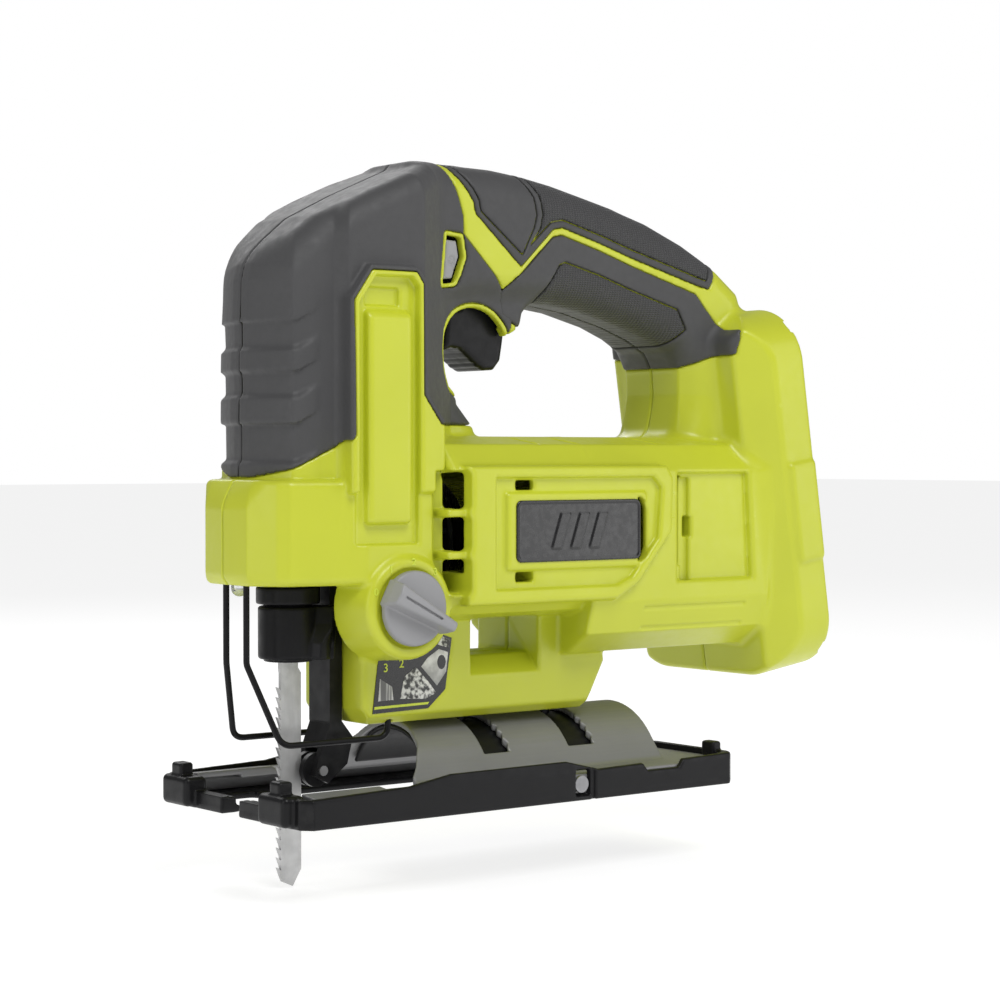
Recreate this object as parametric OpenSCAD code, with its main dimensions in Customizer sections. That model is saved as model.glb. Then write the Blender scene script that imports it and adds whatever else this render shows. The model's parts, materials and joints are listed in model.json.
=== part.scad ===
// Cordless jigsaw with a D-handle, orbital action, bevelling shoe and slide-in battery port.
// Origin: centre of the shoe's sole. -X is the blade end, +X the battery end, +Z up.
// Everything is in millimetres. The tool stands upright with the plunger at the top of its stroke.

/* [Shoe] */
// Length of the shoe along X
shoe_len = 172; // [170:1:176]
// Width of the shoe across Y
shoe_w = 80; // [80:1:84]
// Height of the cover's side rails above the sole
rail_h = 12; // [10:0.5:12]
// Radius of the plate's crown about the bevel axis
crown_r = 25; // [24.8:0.1:25]
// Thickness of the steel plate
plate_t = 2; // [1.5:0.1:2]

/* [Body] */
// Thickness of the moulded shells
wall = 2.5; // [2.2:0.1:2.8]
// Thickness of the soft covers over the shells
skin = 1.2; // [1:0.1:1.4]
// Half width of the motor housing
motor_half_w = 33; // [32:0.5:34]
// Half width of the handle
handle_half_w = 17; // [16.5:0.1:17.5]
// Half width of the foot that stands on the shoe
foot_half_w = 16; // [15.6:0.2:16]
// Height of the flat underside of the foot
foot_z = 25.3; // [25.2:0.1:26]

/* [Drive] */
// Height of the motor's axis
motor_z = 80; // [79:0.5:81]
// Module of the gear teeth
gear_module = 0.8; // [0.7:0.05:0.8]
// Teeth on the motor pinion
pinion_teeth = 8; // [8:1:8]
// Teeth on the drive gear
gear_teeth = 48; // [48:1:48]
// Throw of the crank pin, half the stroke
crank_throw = 12.5; // [11:0.5:12.5]
// Radius of the plunger rod
rod_r = 4.5; // [4:0.1:4.5]

/* [Blade] */
// X position of the plunger's axis
plunger_x = -61.6; // [-62:0.1:-61]
// Thickness of the blade
blade_t = 1.2; // [1:0.1:1.3]
// Depth of the blade tip below the sole
blade_reach = 23; // [20:1:26]
// Pitch of the blade's teeth
tooth_pitch = 3; // [2.5:0.5:4]

/* [Controls] */
// X position of the orbital dial's axis
dial_x = -38; // [-38.5:0.5:-37.5]
// Height of the orbital dial's axis
dial_z = 61; // [60:0.5:61.5]
// Radius of the orbital dial
dial_r = 11.2; // [10.5:0.1:11.5]

/* [Battery flange] */
// Lean of the battery flange from upright, in degrees
flange_tilt = 8.5; // [8:0.1:9]
// Width of the battery flange
flange_w = 76; // [75:1:77]
// Height of the battery flange
flange_h = 121; // [120:1:122]
// Depth of the battery socket
socket_depth = 48; // [44:1:48]

/* [Hidden] */
$fn = 48;
lime = [0.74, 0.80, 0.16];
gray = [0.26, 0.26, 0.27];
black = [0.08, 0.08, 0.09];
button_gray = [0.62, 0.62, 0.64];
steel = [0.66, 0.67, 0.68];
dark_steel = [0.30, 0.31, 0.33];
brass = [0.72, 0.58, 0.30];
copper = [0.72, 0.40, 0.22];
gap = 0.3;              // space between faces that move past each other
run = 0.05;             // radial clearance of a shaft in its bore
shoe_x0 = -shoe_len / 2;
shoe_x1 = shoe_len / 2;
crown_angle = 50;       // where the crown runs out into straight flanks
shoulder_z = 8;         // top of the plate's flat shoulders
gear_x0 = -50;          // front face of the drive gear
gear_x1 = -43;
gear_z = motor_z + gear_module * (gear_teeth + pinion_teeth) / 2;
yoke_x0 = plunger_x + rod_r - 0.4;
yoke_x1 = -53.5;
yoke_z = gear_z + crank_throw;
carrier_x = -69;        // swing carrier's plate and pivot
carrier_z = 147;
lever_x = -47.5;        // orbit lever's pivot
lever_z = 71.5;
roller_x = -53.05;      // backing roller's axle
roller_z = 11.6;
clamp_z0 = 44.6;
clamp_z1 = 67;
flange_x = 124.2;       // centre of the flange's rear face
flange_z = 95.5;

// ---------- outlines ----------
function unit(v) = v / norm(v);
function left_of(v) = [-v[1], v[0]];
// Corner b of a counter-clockwise outline, moved inwards by d from both of its edges
function moved_corner(a, b, c, d) =
    let (u = left_of(unit(b - a)), v = left_of(unit(c - b)))
    b + d * (u + v) / (1 + u * v);
// Outline p drawn inwards by d
function inset(p, d) = let (n = len(p))
    [for (i = [0 : n - 1]) moved_corner(p[(i + n - 1) % n], p[i], p[(i + 1) % n], d)];

// Side view of the nose above the bumper, as (x, z)
nose_side = [[-81, 96], [4, 96], [4, 115], [-3, 122], [-4, 134], [-4, 195.4], [-22, 195.2],
    [-46.4, 184.6], [-62.2, 176.7], [-70.5, 170], [-77.8, 163], [-79.5, 158], [-80.6, 146]];
// Plan of the nose above the bumper, left side, as (x, y)
nose_plan = [[-80.8, 0], [-72, -18.8], [-66, -21], [-58.5, -22.5], [-55, -27], [-31, -28],
    [-19, -18.5], [-9, -10], [4, -9], [4, 0]];
// Side view and plan of the bumper
bumper_side = [[-82.5, 68], [-24, 68], [-24, 98], [-81, 98], [-85.1, 91], [-85.1, 70.6]];
bumper_plan = [[-85.1, 0], [-83.3, -11.5], [-78, -19.5], [-74.8, -22], [-56, -26], [-52, -28],
    [-24, -28], [-24, 0]];
// Side view of the handle and the web behind the opening
handle_side = [[-24, 150], [0, 154.5], [31.6, 154.3], [43.7, 152.8], [60.9, 148.5], [78.4, 142.7],
    [86, 136], [87, 124], [81, 112], [81, 98], [114, 98], [111, 150], [108, 162], [98, 168.5],
    [69.6, 182.4], [43.7, 189.3], [18.9, 194.1], [-4.9, 195.5], [-24, 195.2]];
// Sections of the motor housing, left side, as (y, z): over the motor, and behind it
motor_section = [[0, 56], [0, 112], [-16, 112], [-26, 109], [-motor_half_w, 101],
    [-motor_half_w, 65], [-27, 58], [-20, 56]];
rear_section = [[0, 43.5], [0, 112], [-16, 112], [-26, 109], [-motor_half_w, 101],
    [-motor_half_w, 60], [-30, 50], [-20, 43.5]];
// Side view of the foot
foot_side = [[-42, foot_z], [41, foot_z], [44, 30], [49.4, 40], [47, 60], [-16, 72], [-45.6, 72],
    [-45.6, 30]];
// Side views of the soft covers
cover_zone = [[-95, 98], [-78.3, 98], [-71.5, 102], [-59.3, 108.5], [-56, 113], [-56, 151],
    [-50, 158.5], [-36, 158.5], [-33.5, 156], [-33.5, 124], [-26, 115.5], [10, 115.5], [10, 157],
    [-6.8, 173.2], [-6.4, 181], [-15, 200], [-95, 200]];
lower_zone = [[14, 140], [70, 130], [81, 134], [93.6, 139.5], [94.5, 148.5], [85.5, 159],
    [46.4, 171], [30.6, 175], [27, 174], [14, 162.5]];
top_zone = [[13.5, 165], [27, 176], [30.6, 177], [46.4, 173], [84, 162], [91, 160], [99, 172],
    [60, 200], [-10, 200], [-6, 184]];

// ---------- helpers ----------
// Extrudes an (x, z) outline from y0 to y1
module along_y(y0, y1) {
    translate([0, y1, 0]) rotate([90, 0, 0]) linear_extrude(y1 - y0) children();
}
// Extrudes a (y, z) outline from x0 to x1
module along_x(x0, x1) {
    translate([x0, 0, 0]) rotate([90, 0, 90]) linear_extrude(x1 - x0) children();
}
module rod_x(r, x0, x1, z, y = 0) {
    translate([x0, y, z]) rotate([0, 90, 0]) cylinder(r = r, h = x1 - x0);
}
module rod_y(r, y0, y1, x, z) {
    translate([x, y0, z]) rotate([-90, 0, 0]) cylinder(r = r, h = y1 - y0);
}
module rod_z(r, z0, z1, x, y = 0) {
    translate([x, y, z0]) cylinder(r = r, h = z1 - z0);
}
module block(x0, x1, y0, y1, z0, z1) {
    translate([x0, y0, z0]) cube([x1 - x0, y1 - y0, z1 - z0]);
}
// A ring whose axis is X
module ring_x(r_out, r_in, x0, x1, z, y = 0) {
    difference() {
        rod_x(r_out, x0, x1, z, y);
        rod_x(r_in, x0 - 1, x1 + 1, z, y);
    }
}
module ring_y(r_out, r_in, y0, y1, x, z) {
    difference() {
        rod_y(r_out, y0, y1, x, z);
        rod_y(r_in, y0 - 1, y1 + 1, x, z);
    }
}
module ring_z(r_out, r_in, z0, z1, x, y = 0) {
    difference() {
        rod_z(r_out, z0, z1, x, y);
        rod_z(r_in, z0 - 1, z1 + 1, x, y);
    }
}
// A round wire through a list of points, with balls of radius ball at its bends
module wire(points, r, ball) {
    for (i = [0 : len(points) - 2]) {
        a = points[i];
        b = points[i + 1];
        run_v = b - a;
        translate(a)
            rotate([0, acos(run_v[2] / norm(run_v)), atan2(run_v[1], run_v[0])])
            cylinder(r = r, h = norm(run_v), $fn = 24);
        if (i < len(points) - 2)
            translate(b) rotate([35, 20, 0]) sphere(r = ball, $fn = 24);
    }
}
// Places children in the battery flange's own frame: x is outwards from its rear face
module at_flange() {
    translate([flange_x, 0, flange_z]) rotate([0, -flange_tilt, 0]) children();
}
// Draws the right-hand piece as the left one's reflection
module other_side() {
    mirror([0, 1, 0]) children();
}

// ---------- the body's outer form, left half, drawn inwards by d ----------
module nose_form(d) {
    intersection() {
        union() {
            along_y(-12 + d, 0) polygon(inset(nose_side, d));
            along_y(-20 + d, 0) polygon(inset(nose_side, d + 5));
            along_y(-40, 0) polygon(inset(nose_side, d + 10));
            along_y(-40, 0) polygon(inset([[-81, 90], [4, 90], [4, 115], [-3, 122], [-4, 134],
                [-4, 155], [-80, 155]], d));
        }
        translate([0, 0, 80]) linear_extrude(130) polygon(inset_open(nose_plan, d));
    }
}
// A half plan drawn inwards by d, with its first and last points kept on the seam
function inset_open(p, d) = let (q = inset(p, d), n = len(p))
    [for (i = [0 : n - 1]) i == 0 ? [p[0][0] + d * 1.1, 0] : i == n - 1 ? [q[i][0], 0] : q[i]];
module handle_form(d) {
    along_y(-9 + d, 0) polygon(inset(handle_side, d));
    along_y(-14 + d, 0) polygon(inset(handle_side, d + 2.5));
    along_y(-handle_half_w + d, 0) polygon(inset(handle_side, d + 6));
}
module bumper_form() {
    intersection() {
        along_y(-40, 0) polygon(bumper_side);
        translate([0, 0, 60]) linear_extrude(50) polygon(bumper_plan);
    }
}
module motor_form() {
    along_x(-24, 31) polygon(motor_section);
    along_x(30, 104) polygon(rear_section);
    // raised panel that carries the badge
    along_y(-motor_half_w - 3, -20) polygon([[-20.5, 60], [40, 60], [58, 78], [61, 101],
        [-20.5, 101]]);
}
// The neck between the handle's rear end and the battery flange
module neck_form() {
    translate([0, 0, 98]) linear_extrude(50)
        polygon([[84, 0], [84, -15], [100, -27], [110, -27], [110, 0]]);
}
module foot_form() {
    // how far the bottom edges are cut back so that the shoe can tilt
    relief = shoulder_z * sqrt(2) + gap * sqrt(2);
    difference() {
        along_y(-foot_half_w, 0) polygon(foot_side);
        along_x(-50, 60) polygon([[-foot_z + 2 + relief, foot_z - 2],
            [-foot_half_w - 1, foot_half_w + 1 + relief], [-foot_half_w - 1, foot_z - 2]]);
        // front corner
        translate([0, 0, 20]) linear_extrude(60)
            polygon([[-46, -15], [-43, -foot_half_w - 1], [-47, -foot_half_w - 1]]);
    }
}
module flange_form() {
    r = 18;
    at_flange() intersection() {
        union() {
            for (z = [-1, 1])
                rod_x(r, -25, 0, z * (flange_h / 2 - r), -(flange_w / 2 - r));
            block(-25, 0, -flange_w / 2, 0, -flange_h / 2 + r, flange_h / 2 - r);
            block(-25, 0, -flange_w / 2 + r, 0, -flange_h / 2, flange_h / 2);
            block(-12, 0.5, -flange_w / 2 - 1.5, 0, -24, 10);
        }
        block(-30, 5, -50, 0, -80, 80);
    }
}
module dial_boss() {
    translate([dial_x, -30.5, dial_z]) rotate([-90, 0, 0]) cylinder(r1 = 15, r2 = 15.8, h = 16);
}

// ---------- soft covers ----------
module nose_cover() {
    difference() {
        intersection() {
            union() {
                nose_form(0);
                handle_form(0);
            }
            along_y(-40, 0) polygon(cover_zone);
        }
        intersection() {
            union() {
                nose_form(skin);
                handle_form(skin);
            }
            along_y(-40, 1) polygon(cover_zone);
        }
        // the shell shows as a lip round the trigger
        rod_y(15.8, -40, 1, -1, 138.5);
        lock_window();
        trigger_slot();
    }
}
module grip_skin(zone) {
    difference() {
        intersection() {
            handle_form(0);
            along_y(-40, 0) polygon(zone);
        }
        intersection() {
            handle_form(skin);
            along_y(-40, 1) polygon(zone);
        }
        trigger_slot();
    }
}
module trigger_slot() {
    block(-3.5, 22, -8.5, 1, 146, 170);
}
// Hole for the lock-off button, through one side
module lock_window() {
    along_y(-40, 1) polygon([[-16.8, 158.4], [-11.5, 159], [-8.4, 167], [-9.5, 173], [-15, 173.4]]);
}

// ---------- housing ----------
module body_hollows() {
    // nose: swing carrier, plunger, yoke and gears
    intersection() {
        nose_form(wall + skin);
        block(-90, -28, -40, 1, 93, 200);
    }
    block(-76, -52.6, -18.5, 1, 70.5, 110);
    block(-55.5, -40, -23.8, 1, 75.5, 127);
    block(-53, -45, -6.4, 1, 60, 76);
    block(-53, -43.6, -6.4, 1, 67, 76);
    block(-40.5, -31, -23.8, 1, 70.5, 127);
    // fan chamber and motor bay
    block(-31.5, -23, -20, 1, 70.5, 101);
    rod_x(22, -23.5, -9, motor_z);
    rod_x(19.2, -9.5, 58, motor_z);
    block(57.5, 70, -22, 1, 62, 100);
    // handle
    intersection() {
        along_y(-handle_half_w + wall + skin, 1) polygon(inset(handle_side, wall + skin + 3));
        block(-8, 90, -40, 2, 150, 200);
    }
    // wire duct from the handle, down one side of the battery socket, to the motor
    block(90, 101, -22.5, 1, 134, 146);
    block(86, 101, -13, 1, 146, 154);
    block(62, 101, -22.5, -18, 88, 140);
    block(72.5, 79, -22, -13, 85, 94);
    trigger_slot();
    // opening for the plunger in the underside
    rod_z(11, 66, 72, plunger_x - 0.8);
    rod_y(2, -9, 1, lever_x, lever_z);
    // orbit cam
    block(-46, -29, -6.4, 1, 53, 69);
    // holes for the wire guard's ends and the lamp
    rod_z(0.95, 60, 78.5, -79.7, -5.6);
    rod_z(0.95, 20, 31, -34.5, -13.3);
    rod_z(2.6, 60, 72, -78.5);
    // lamp board and the wire guard's cross bar
    block(-82, -75, -5.4, 1, 71.5, 78);
    block(-80.7, -78.7, -6.6, 1, 74.5, 77);
    // bevel screws' holes
    for (x = [2, 36])
        rod_z(2.5, 20, 36, x);
}
module vents() {
    for (z = [65.5, 77.5, 90])
        block(-24.5, -18, -60, -20, z, z + 10);
    for (z = [67.5, 95.2])
        block(-1, 7, -60, -18, z, z + 3.2);
    block(70, 72, -60, -15, 80, 86.5);
}
module battery_socket() {
    at_flange() {
        block(-socket_depth, 2, -16.5, 1, -20, 20);
        block(-2, 2, -34.5, 1, -56, 56);
        block(-socket_depth - 5, -socket_depth + 1, -14, 1, -18, 18);
    }
}
// Pockets pressed into the side: behind the badge panel and the foot's window
module side_pockets() {
    block(66, 98, -40, -motor_half_w + 3, 66, 100);
    block(-4.5, 21, -30, 1, 44, 56);
}
// The long raised rib in its channel on the nose
module nose_channel() {
    difference() {
        block(-54, -35, -40, -26.3, 100, 156);
        block(-52, -37, -40, -20, 100, 149);
    }
}
module housing_half() {
    difference() {
        union() {
            nose_form(0);
            handle_form(0);
            bumper_form();
            motor_form();
            neck_form();
            foot_form();
            flange_form();
        }
        nose_cover();
        grip_skin(lower_zone);
        grip_skin(top_zone);
        body_hollows();
        vents();
        battery_socket();
        side_pockets();
        nose_channel();
        lock_window();
        screw_holes();
        block(-3, 48, -40, -motor_half_w - 2, 73, 93);
    }
}
module housing_left() {
    color(lime) difference() {
        union() {
            housing_half();
            difference() {
                dial_boss();
                block(-70, -10, -foot_half_w + 1, 10, 30, 90);
                block(-55.5, -31, -23.8, 1, 70.5, 90);
            }
        }
        rod_y(4 + run, -40, 1, dial_x, dial_z);
        // seat of the setting label
        label_form(-foot_half_w + 0.4);
    }
}
module housing_right() {
    color(lime) other_side() housing_half();
}
module nose_cover_left() {
    color(gray) nose_cover();
}
module nose_cover_right() {
    color(gray) other_side() nose_cover();
}
module lower_grip_left() {
    color(gray) grip_skin(lower_zone);
}
module lower_grip_right() {
    color(gray) other_side() grip_skin(lower_zone);
}
module top_grip_left() {
    color(gray) grip_skin(top_zone);
}
module top_grip_right() {
    color(gray) other_side() grip_skin(top_zone);
}
module badge_form() {
    block(-3, 48, -motor_half_w - 2.9, -motor_half_w - 2, 73, 93);
}
module badge_plate_left() {
    color(black) badge_form();
}
module badge_plate_right() {
    color(black) other_side() badge_form();
}
module label_form(y_back) {
    along_y(-foot_half_w - 1, y_back)
        polygon([[-40.5, 31], [-22.5, 31], [-14.5, 40], [-14.5, 45], [-26, 43], [-39.5, 44]]);
}
module setting_label() {
    color(black) intersection() {
        label_form(-foot_half_w + 0.4);
        block(-60, 0, -foot_half_w - 0.2, 0, 20, 60);
    }
}

screw_places = [[-80, 84], [-20, 130], [60, 104], [97, 48], [30, 38], [-30, 35], [100, 130]];
module screw_holes() {
    for (p = screw_places)
        rod_y(1.6, -13, 1, p[0], p[1]);
}
module housing_screws() {
    color(dark_steel) for (p = screw_places)
        rod_y(1.6, -11, 11, p[0], p[1]);
}

// ---------- controls ----------
trigger_side = [[-2.6, 139.5], [2, 136.5], [6.5, 133.4], [10.5, 133.2], [13.3, 137], [15.5, 146],
    [16, 163], [-1, 163], [-3, 150]];
module trigger() {
    color(gray) along_y(-8, 8) polygon(trigger_side);
}
module switch_module() {
    color(black) union() {
        block(22.5, 58, -10.5, 10.5, 161.5, 176);
        block(19.7, 22.5, -3, 3, 164, 170);
    }
}
module lock_off_button() {
    color(button_gray) along_y(-16.6, 18.6)
        polygon([[-15.8, 159.8], [-12, 160], [-9.6, 167], [-10.5, 171.8], [-14.6, 172]]);
}
module dial_knob() {
    color(button_gray) difference() {
        union() {
            rod_y(dial_r, -34, -30.5 - gap, dial_x, dial_z);
            // finger bar, pointing at the first mark
            translate([dial_x, 0, dial_z]) rotate([0, 22, 0])
                block(-dial_r - 1, dial_r + 2.5, -38.5, -33, -3.4, 3.4);
        }
        rod_y(4, -33, 0, dial_x, dial_z);
    }
}
module orbit_cam() {
    color(steel) union() {
        rod_y(4, -33, 6, dial_x, dial_z);
        rod_y(6, -5, 5, dial_x - 1.5, dial_z);
    }
}

// ---------- motor ----------
module motor_can() {
    color(steel) difference() {
        rod_x(19, -9, 49, motor_z);
        rod_x(17.2, -7.5, 50, motor_z);
        rod_x(8, -10, -7, motor_z);
    }
}
module motor_end_cap() {
    color(black) difference() {
        rod_x(19, 49, 57, motor_z);
        rod_x(15, 48, 52, motor_z);
        rod_x(6.5, 51, 56, motor_z);
    }
}
module armature() {
    color(copper) union() {
        rod_x(2.5, -41.8, 55.5, motor_z);
        rod_x(1.4, -51.5, -41.8, motor_z);
        rod_x(15.5, 2, 38, motor_z);
        rod_x(8, 40.5, 49, motor_z);
    }
}
module motor_bearings() {
    color(dark_steel) {
        ring_x(6.5, 2.5 + run, -38, -33, motor_z);
        ring_x(6.5, 2.5 + run, 51.5, 55.5, motor_z);
    }
}
module cooling_fan() {
    blades = 9;
    color(black) difference() {
        union() {
            rod_x(19.5, -16, -14.5, motor_z);
            rod_x(6, -24, -14.5, motor_z);
            for (i = [0 : blades - 1])
                translate([0, 0, motor_z]) rotate([i * 360 / blades, 0, 0])
                    block(-23, -15, -0.8, 0.8, 5, 18.5);
        }
        rod_x(2.5, -30, -10, motor_z);
    }
}
// A spur gear with straight-sided teeth; its first tooth points along +Z
module spur_gear(teeth, x0, x1, z, turn) {
    r_pitch = gear_module * teeth / 2;
    r_root = r_pitch - 1.15 * gear_module;
    r_tip = r_pitch + 0.85 * gear_module;
    half_root = 360 / teeth * 0.30;
    half_tip = 360 / teeth * 0.12;
    points = [for (i = [0 : teeth - 1]) each let (a = i * 360 / teeth + turn)
        [for (s = [[-half_root, r_root], [-half_tip, r_tip], [half_tip, r_tip], [half_root, r_root]])
            [s[1] * sin(a + s[0]), s[1] * cos(a + s[0])]]];
    translate([0, 0, z]) along_x(x0, x1) polygon(points);
}
module pinion() {
    color(steel) difference() {
        spur_gear(pinion_teeth, -51, -42, motor_z, 180 / pinion_teeth);
        rod_x(1.4, -60, -40, motor_z);
    }
}
module gear_frame() {
    color(steel) difference() {
        union() {
            block(-38, -32, -22, 22, 71, 126);
            // cheeks that reach forward to the swing carrier's pivot
            for (s = [-1, 1])
                block(-71, -32, min(s * 9, s * 12), max(s * 9, s * 12), 143, 151);
            block(-38, -32, -12, 12, 120, 151);
        }
        rod_x(6.5, -38.1, -33, motor_z);
        rod_x(3, -50, -30, motor_z);
        rod_x(4, -40, -30, gear_z);
        rod_y(1.5, -20, 20, carrier_x, carrier_z);
    }
}
module gear_axle() {
    color(dark_steel) rod_x(4, gear_x0 - 0.4, -32, gear_z);
}
module drive_gear() {
    color(steel) difference() {
        spur_gear(gear_teeth, gear_x0, gear_x1, gear_z, 0);
        rod_x(6, -60, -40, gear_z);
        rod_x(2.2, -60, -40, gear_z + crank_throw);
        // lightening hole
        rod_x(3.5, -60, -40, gear_z - 12);
    }
}
module gear_bearing() {
    color(brass) ring_x(6, 4 + run, gear_x0, gear_x1, gear_z);
}
module crank_pin() {
    color(dark_steel) rod_x(2.2, -53, gear_x1, gear_z + crank_throw);
}
module crank_roller() {
    color(steel) ring_x(3.5, 2.2 + run, -53, gear_x0 - gap, gear_z + crank_throw);
}

// ---------- plunger and its swinging carrier ----------
module swing_carrier() {
    color(dark_steel) difference() {
        union() {
            block(carrier_x - 1, carrier_x + 1, -7, 7, 71, 150);
            for (z = [[71, 80], [130, 139]]) {
                rod_z(8.5, z[0], z[1], plunger_x);
                block(carrier_x, plunger_x, -7, 7, z[0], z[1]);
            }
            rod_y(3.5, -8.5, 8.5, carrier_x, carrier_z);
        }
        rod_z(6.5, 60, 140, plunger_x);
        rod_z(rod_r + 0.5, 135, 156, plunger_x);
        rod_y(1.5 + run, -20, 20, carrier_x, carrier_z);
    }
}
module carrier_pin() {
    color(steel) rod_y(1.5, -12, 12, carrier_x, carrier_z);
}
module plunger_bushes() {
    color(brass) for (z = [71, 130])
        ring_z(6.5, rod_r + run, z, z + 9, plunger_x);
}
module plunger_seal() {
    color(black) ring_z(8.5, rod_r + 0.1, 69, 71, plunger_x);
}
module plunger_rod() {
    color(steel) union() {
        rod_z(rod_r, 60, 165, plunger_x);
    }
}
module plunger_yoke() {
    slot_w = crank_throw + 3.5 + 0.5;
    color(dark_steel) difference() {
        union() {
            block(yoke_x0, yoke_x1, -18.5, 18.5, yoke_z - 7, yoke_z + 7);
            ring_z(6.3, rod_r, yoke_z - 7, yoke_z + 7, plunger_x);
        }
        block(yoke_x0 + 1.5, yoke_x1 + 1, -slot_w, slot_w, yoke_z - 4, yoke_z + 4);
        rod_z(rod_r, 60, 165, plunger_x);
    }
}
module clamp_body() {
    color(black) difference() {
        union() {
            rod_z(7.4, clamp_z0, clamp_z1, plunger_x);
            rod_z(9.6, 61.6, clamp_z1, plunger_x);
        }
        rod_z(rod_r, 60, 70, plunger_x);
        block(plunger_x - 5.2, plunger_x + 5.2, -blade_t / 2 - 0.1, blade_t / 2 + 0.1, 40, 58.5);
    }
}
module clamp_lever() {
    turn = -50;
    color(black) union() {
        ring_z(9, 7.4 + run, clamp_z0 + 0.6, 61.3, plunger_x);
        translate([plunger_x, 0, 0]) rotate([0, 0, turn])
            difference() {
                along_y(-2, 2) polygon([[8.6, 61.3], [8.6, 45.4], [10.4, 45.4], [10.8, 49], [14, 54],
                    [14, 61.3]]);
                rod_z(8.2, 40, 70, 0);
            }
    }
}
blade_back = -57.4;
blade_front = blade_back - 7.2;
module blade() {
    teeth = floor((37 + blade_reach - 2) / tooth_pitch);
    // each tooth rises forwards to a tip that points up, then drops back under it
    tooth_points = [for (i = [0 : teeth - 1]) each let (z = 37 - i * tooth_pitch)
        [[blade_front, z - 0.9], [blade_front - 1.2, z], [blade_front - 0.2, z - tooth_pitch + 0.4]]];
    color(steel) along_y(-blade_t / 2, blade_t / 2) polygon(concat(
        [[plunger_x - 3.2, 52], [plunger_x - 5, 53], [plunger_x - 5, 56], [plunger_x - 3, 58],
         [plunger_x + 3, 58], [plunger_x + 5, 56], [plunger_x + 5, 53], [plunger_x + 3.2, 52],
         [plunger_x + 3.2, 42.5], [blade_back, 41], [blade_back, -blade_reach + 5],
         [blade_front + 4.2, -blade_reach], [blade_front + 0.6, -blade_reach + 1.6]],
        [for (i = [len(tooth_points) - 1 : -1 : 0]) tooth_points[i]],
        [[blade_front, 41], [plunger_x - 3.2, 42.5]]));
}

// ---------- orbital lever and roller ----------
module orbit_lever() {
    color(black) difference() {
        union() {
            rod_y(3.5, -5.6, 5.6, lever_x, lever_z);
            // the column that runs down in front of the foot
            along_y(-5.6, 5.6) polygon([[-46, 22], [-46, lever_z], [-50.4, lever_z], [-50.4, 26],
                [-49, 20]]);
            // fork that holds the roller
            along_y(-5.6, 5.6) polygon([[roller_x - 2.6, roller_z - 1.5], [roller_x + 2, roller_z - 4],
                [-44, 13], [-42, 21], [-46, 26], [-50, 26], [roller_x - 1.5, roller_z + 3]]);
        }
        rod_y(2 + run, -20, 20, lever_x, lever_z);
        rod_y(1.5, -20, 20, roller_x, roller_z);
        block(-62, roller_x + 6.5, -3.2, 3.2, 0, roller_z + 6.5);
    }
}
module lever_pin() {
    color(steel) rod_y(2, -9, 9, lever_x, lever_z);
}
module roller_axle() {
    color(steel) rod_y(1.5, -6.4, 6.4, roller_x, roller_z);
}
module backing_roller() {
    color(steel) difference() {
        union() {
            rod_y(4.2, -2.9, 2.9, roller_x, roller_z);
            for (s = [-1, 1])
                rod_y(5.2, min(s * 0.95, s * 2.9), max(s * 0.95, s * 2.9), roller_x, roller_z);
        }
        rod_y(1.5 + run, -4, 4, roller_x, roller_z);
    }
}

// ---------- wire guard and lamp ----------
module wire_guard() {
    leg = [[-79.7, 5.6, 76], [-79.7, 5.6, 44.8], [-72.5, 13.3, 21], [-34.5, 13.3, 21],
        [-34.5, 13.3, 30]];
    color(black) union() {
        wire(leg, 0.9, 1);
        mirror([0, 1, 0]) wire(leg, 0.9, 1);
        rod_y(0.9, -5.6, 5.6, -79.7, 75);
    }
}
module led_lens() {
    color([0.9, 0.95, 1]) union() {
        rod_z(2.5, 67, 72, -78.5);
        translate([-78.5, 0, 67]) sphere(r = 2.5);
    }
}
module led_board() {
    color([0.1, 0.35, 0.2]) block(-81.5, -75.5, -4.4, 4.4, 72, 73.2);
}

// ---------- shoe ----------
// The domed form of the plate: a round crown about the bevel axis and straight flanks down to z0
module dome(r, z0, x0, x1) {
    y0 = (r - z0 * cos(crown_angle)) / sin(crown_angle);
    y1 = r * sin(crown_angle);
    z1 = r * cos(crown_angle);
    intersection() {
        rod_x(r, x0, x1, 0);
        block(x0, x1, -y1, y1, z1, r + 1);
    }
    along_x(x0, x1) polygon([[-y0, z0], [y0, z0], [y1 - 0.1, z1], [-y1 + 0.1, z1]]);
}
dome_x1 = 66;
slot_places = [[-3, 7], [30.5, 41]];
module base_plate() {
    half = shoe_w / 2 - 1.6;
    color(steel) difference() {
        union() {
            dome(crown_r, shoulder_z - plate_t, -60, dome_x1);
            block(shoe_x0 + 10, shoe_x1 - 2.2, -half, half, shoulder_z - plate_t, shoulder_z);
            for (s = [-1, 1])
                block(shoe_x0 + 10, shoe_x1 - 2.2, min(s * half, s * (half - plate_t)),
                    max(s * half, s * (half - plate_t)), 2, shoulder_z);
        }
        dome(crown_r - plate_t, shoulder_z - plate_t - 0.001, -70, dome_x1 + 1);
        // opening round the blade, wide beside the wire guard and rounded behind it
        block(-90, -33, -28.8, 28.8, 0, 40);
        for (s = [-1, 1])
            linear_extrude(40) polygon([[-41, -s], for (a = [0 : 10 : 90])
                [-40 + 16 * cos(a), s * (9.5 + 16 * sin(a))], [-41, s * 25.5]]);
        block(-41, -24, -9.5, 9.5, 0, 40);
        // slots that the bevel screws run in
        for (p = slot_places)
            block(p[0], p[1], -20.6, 20.6, 13, 40);
    }
}
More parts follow.
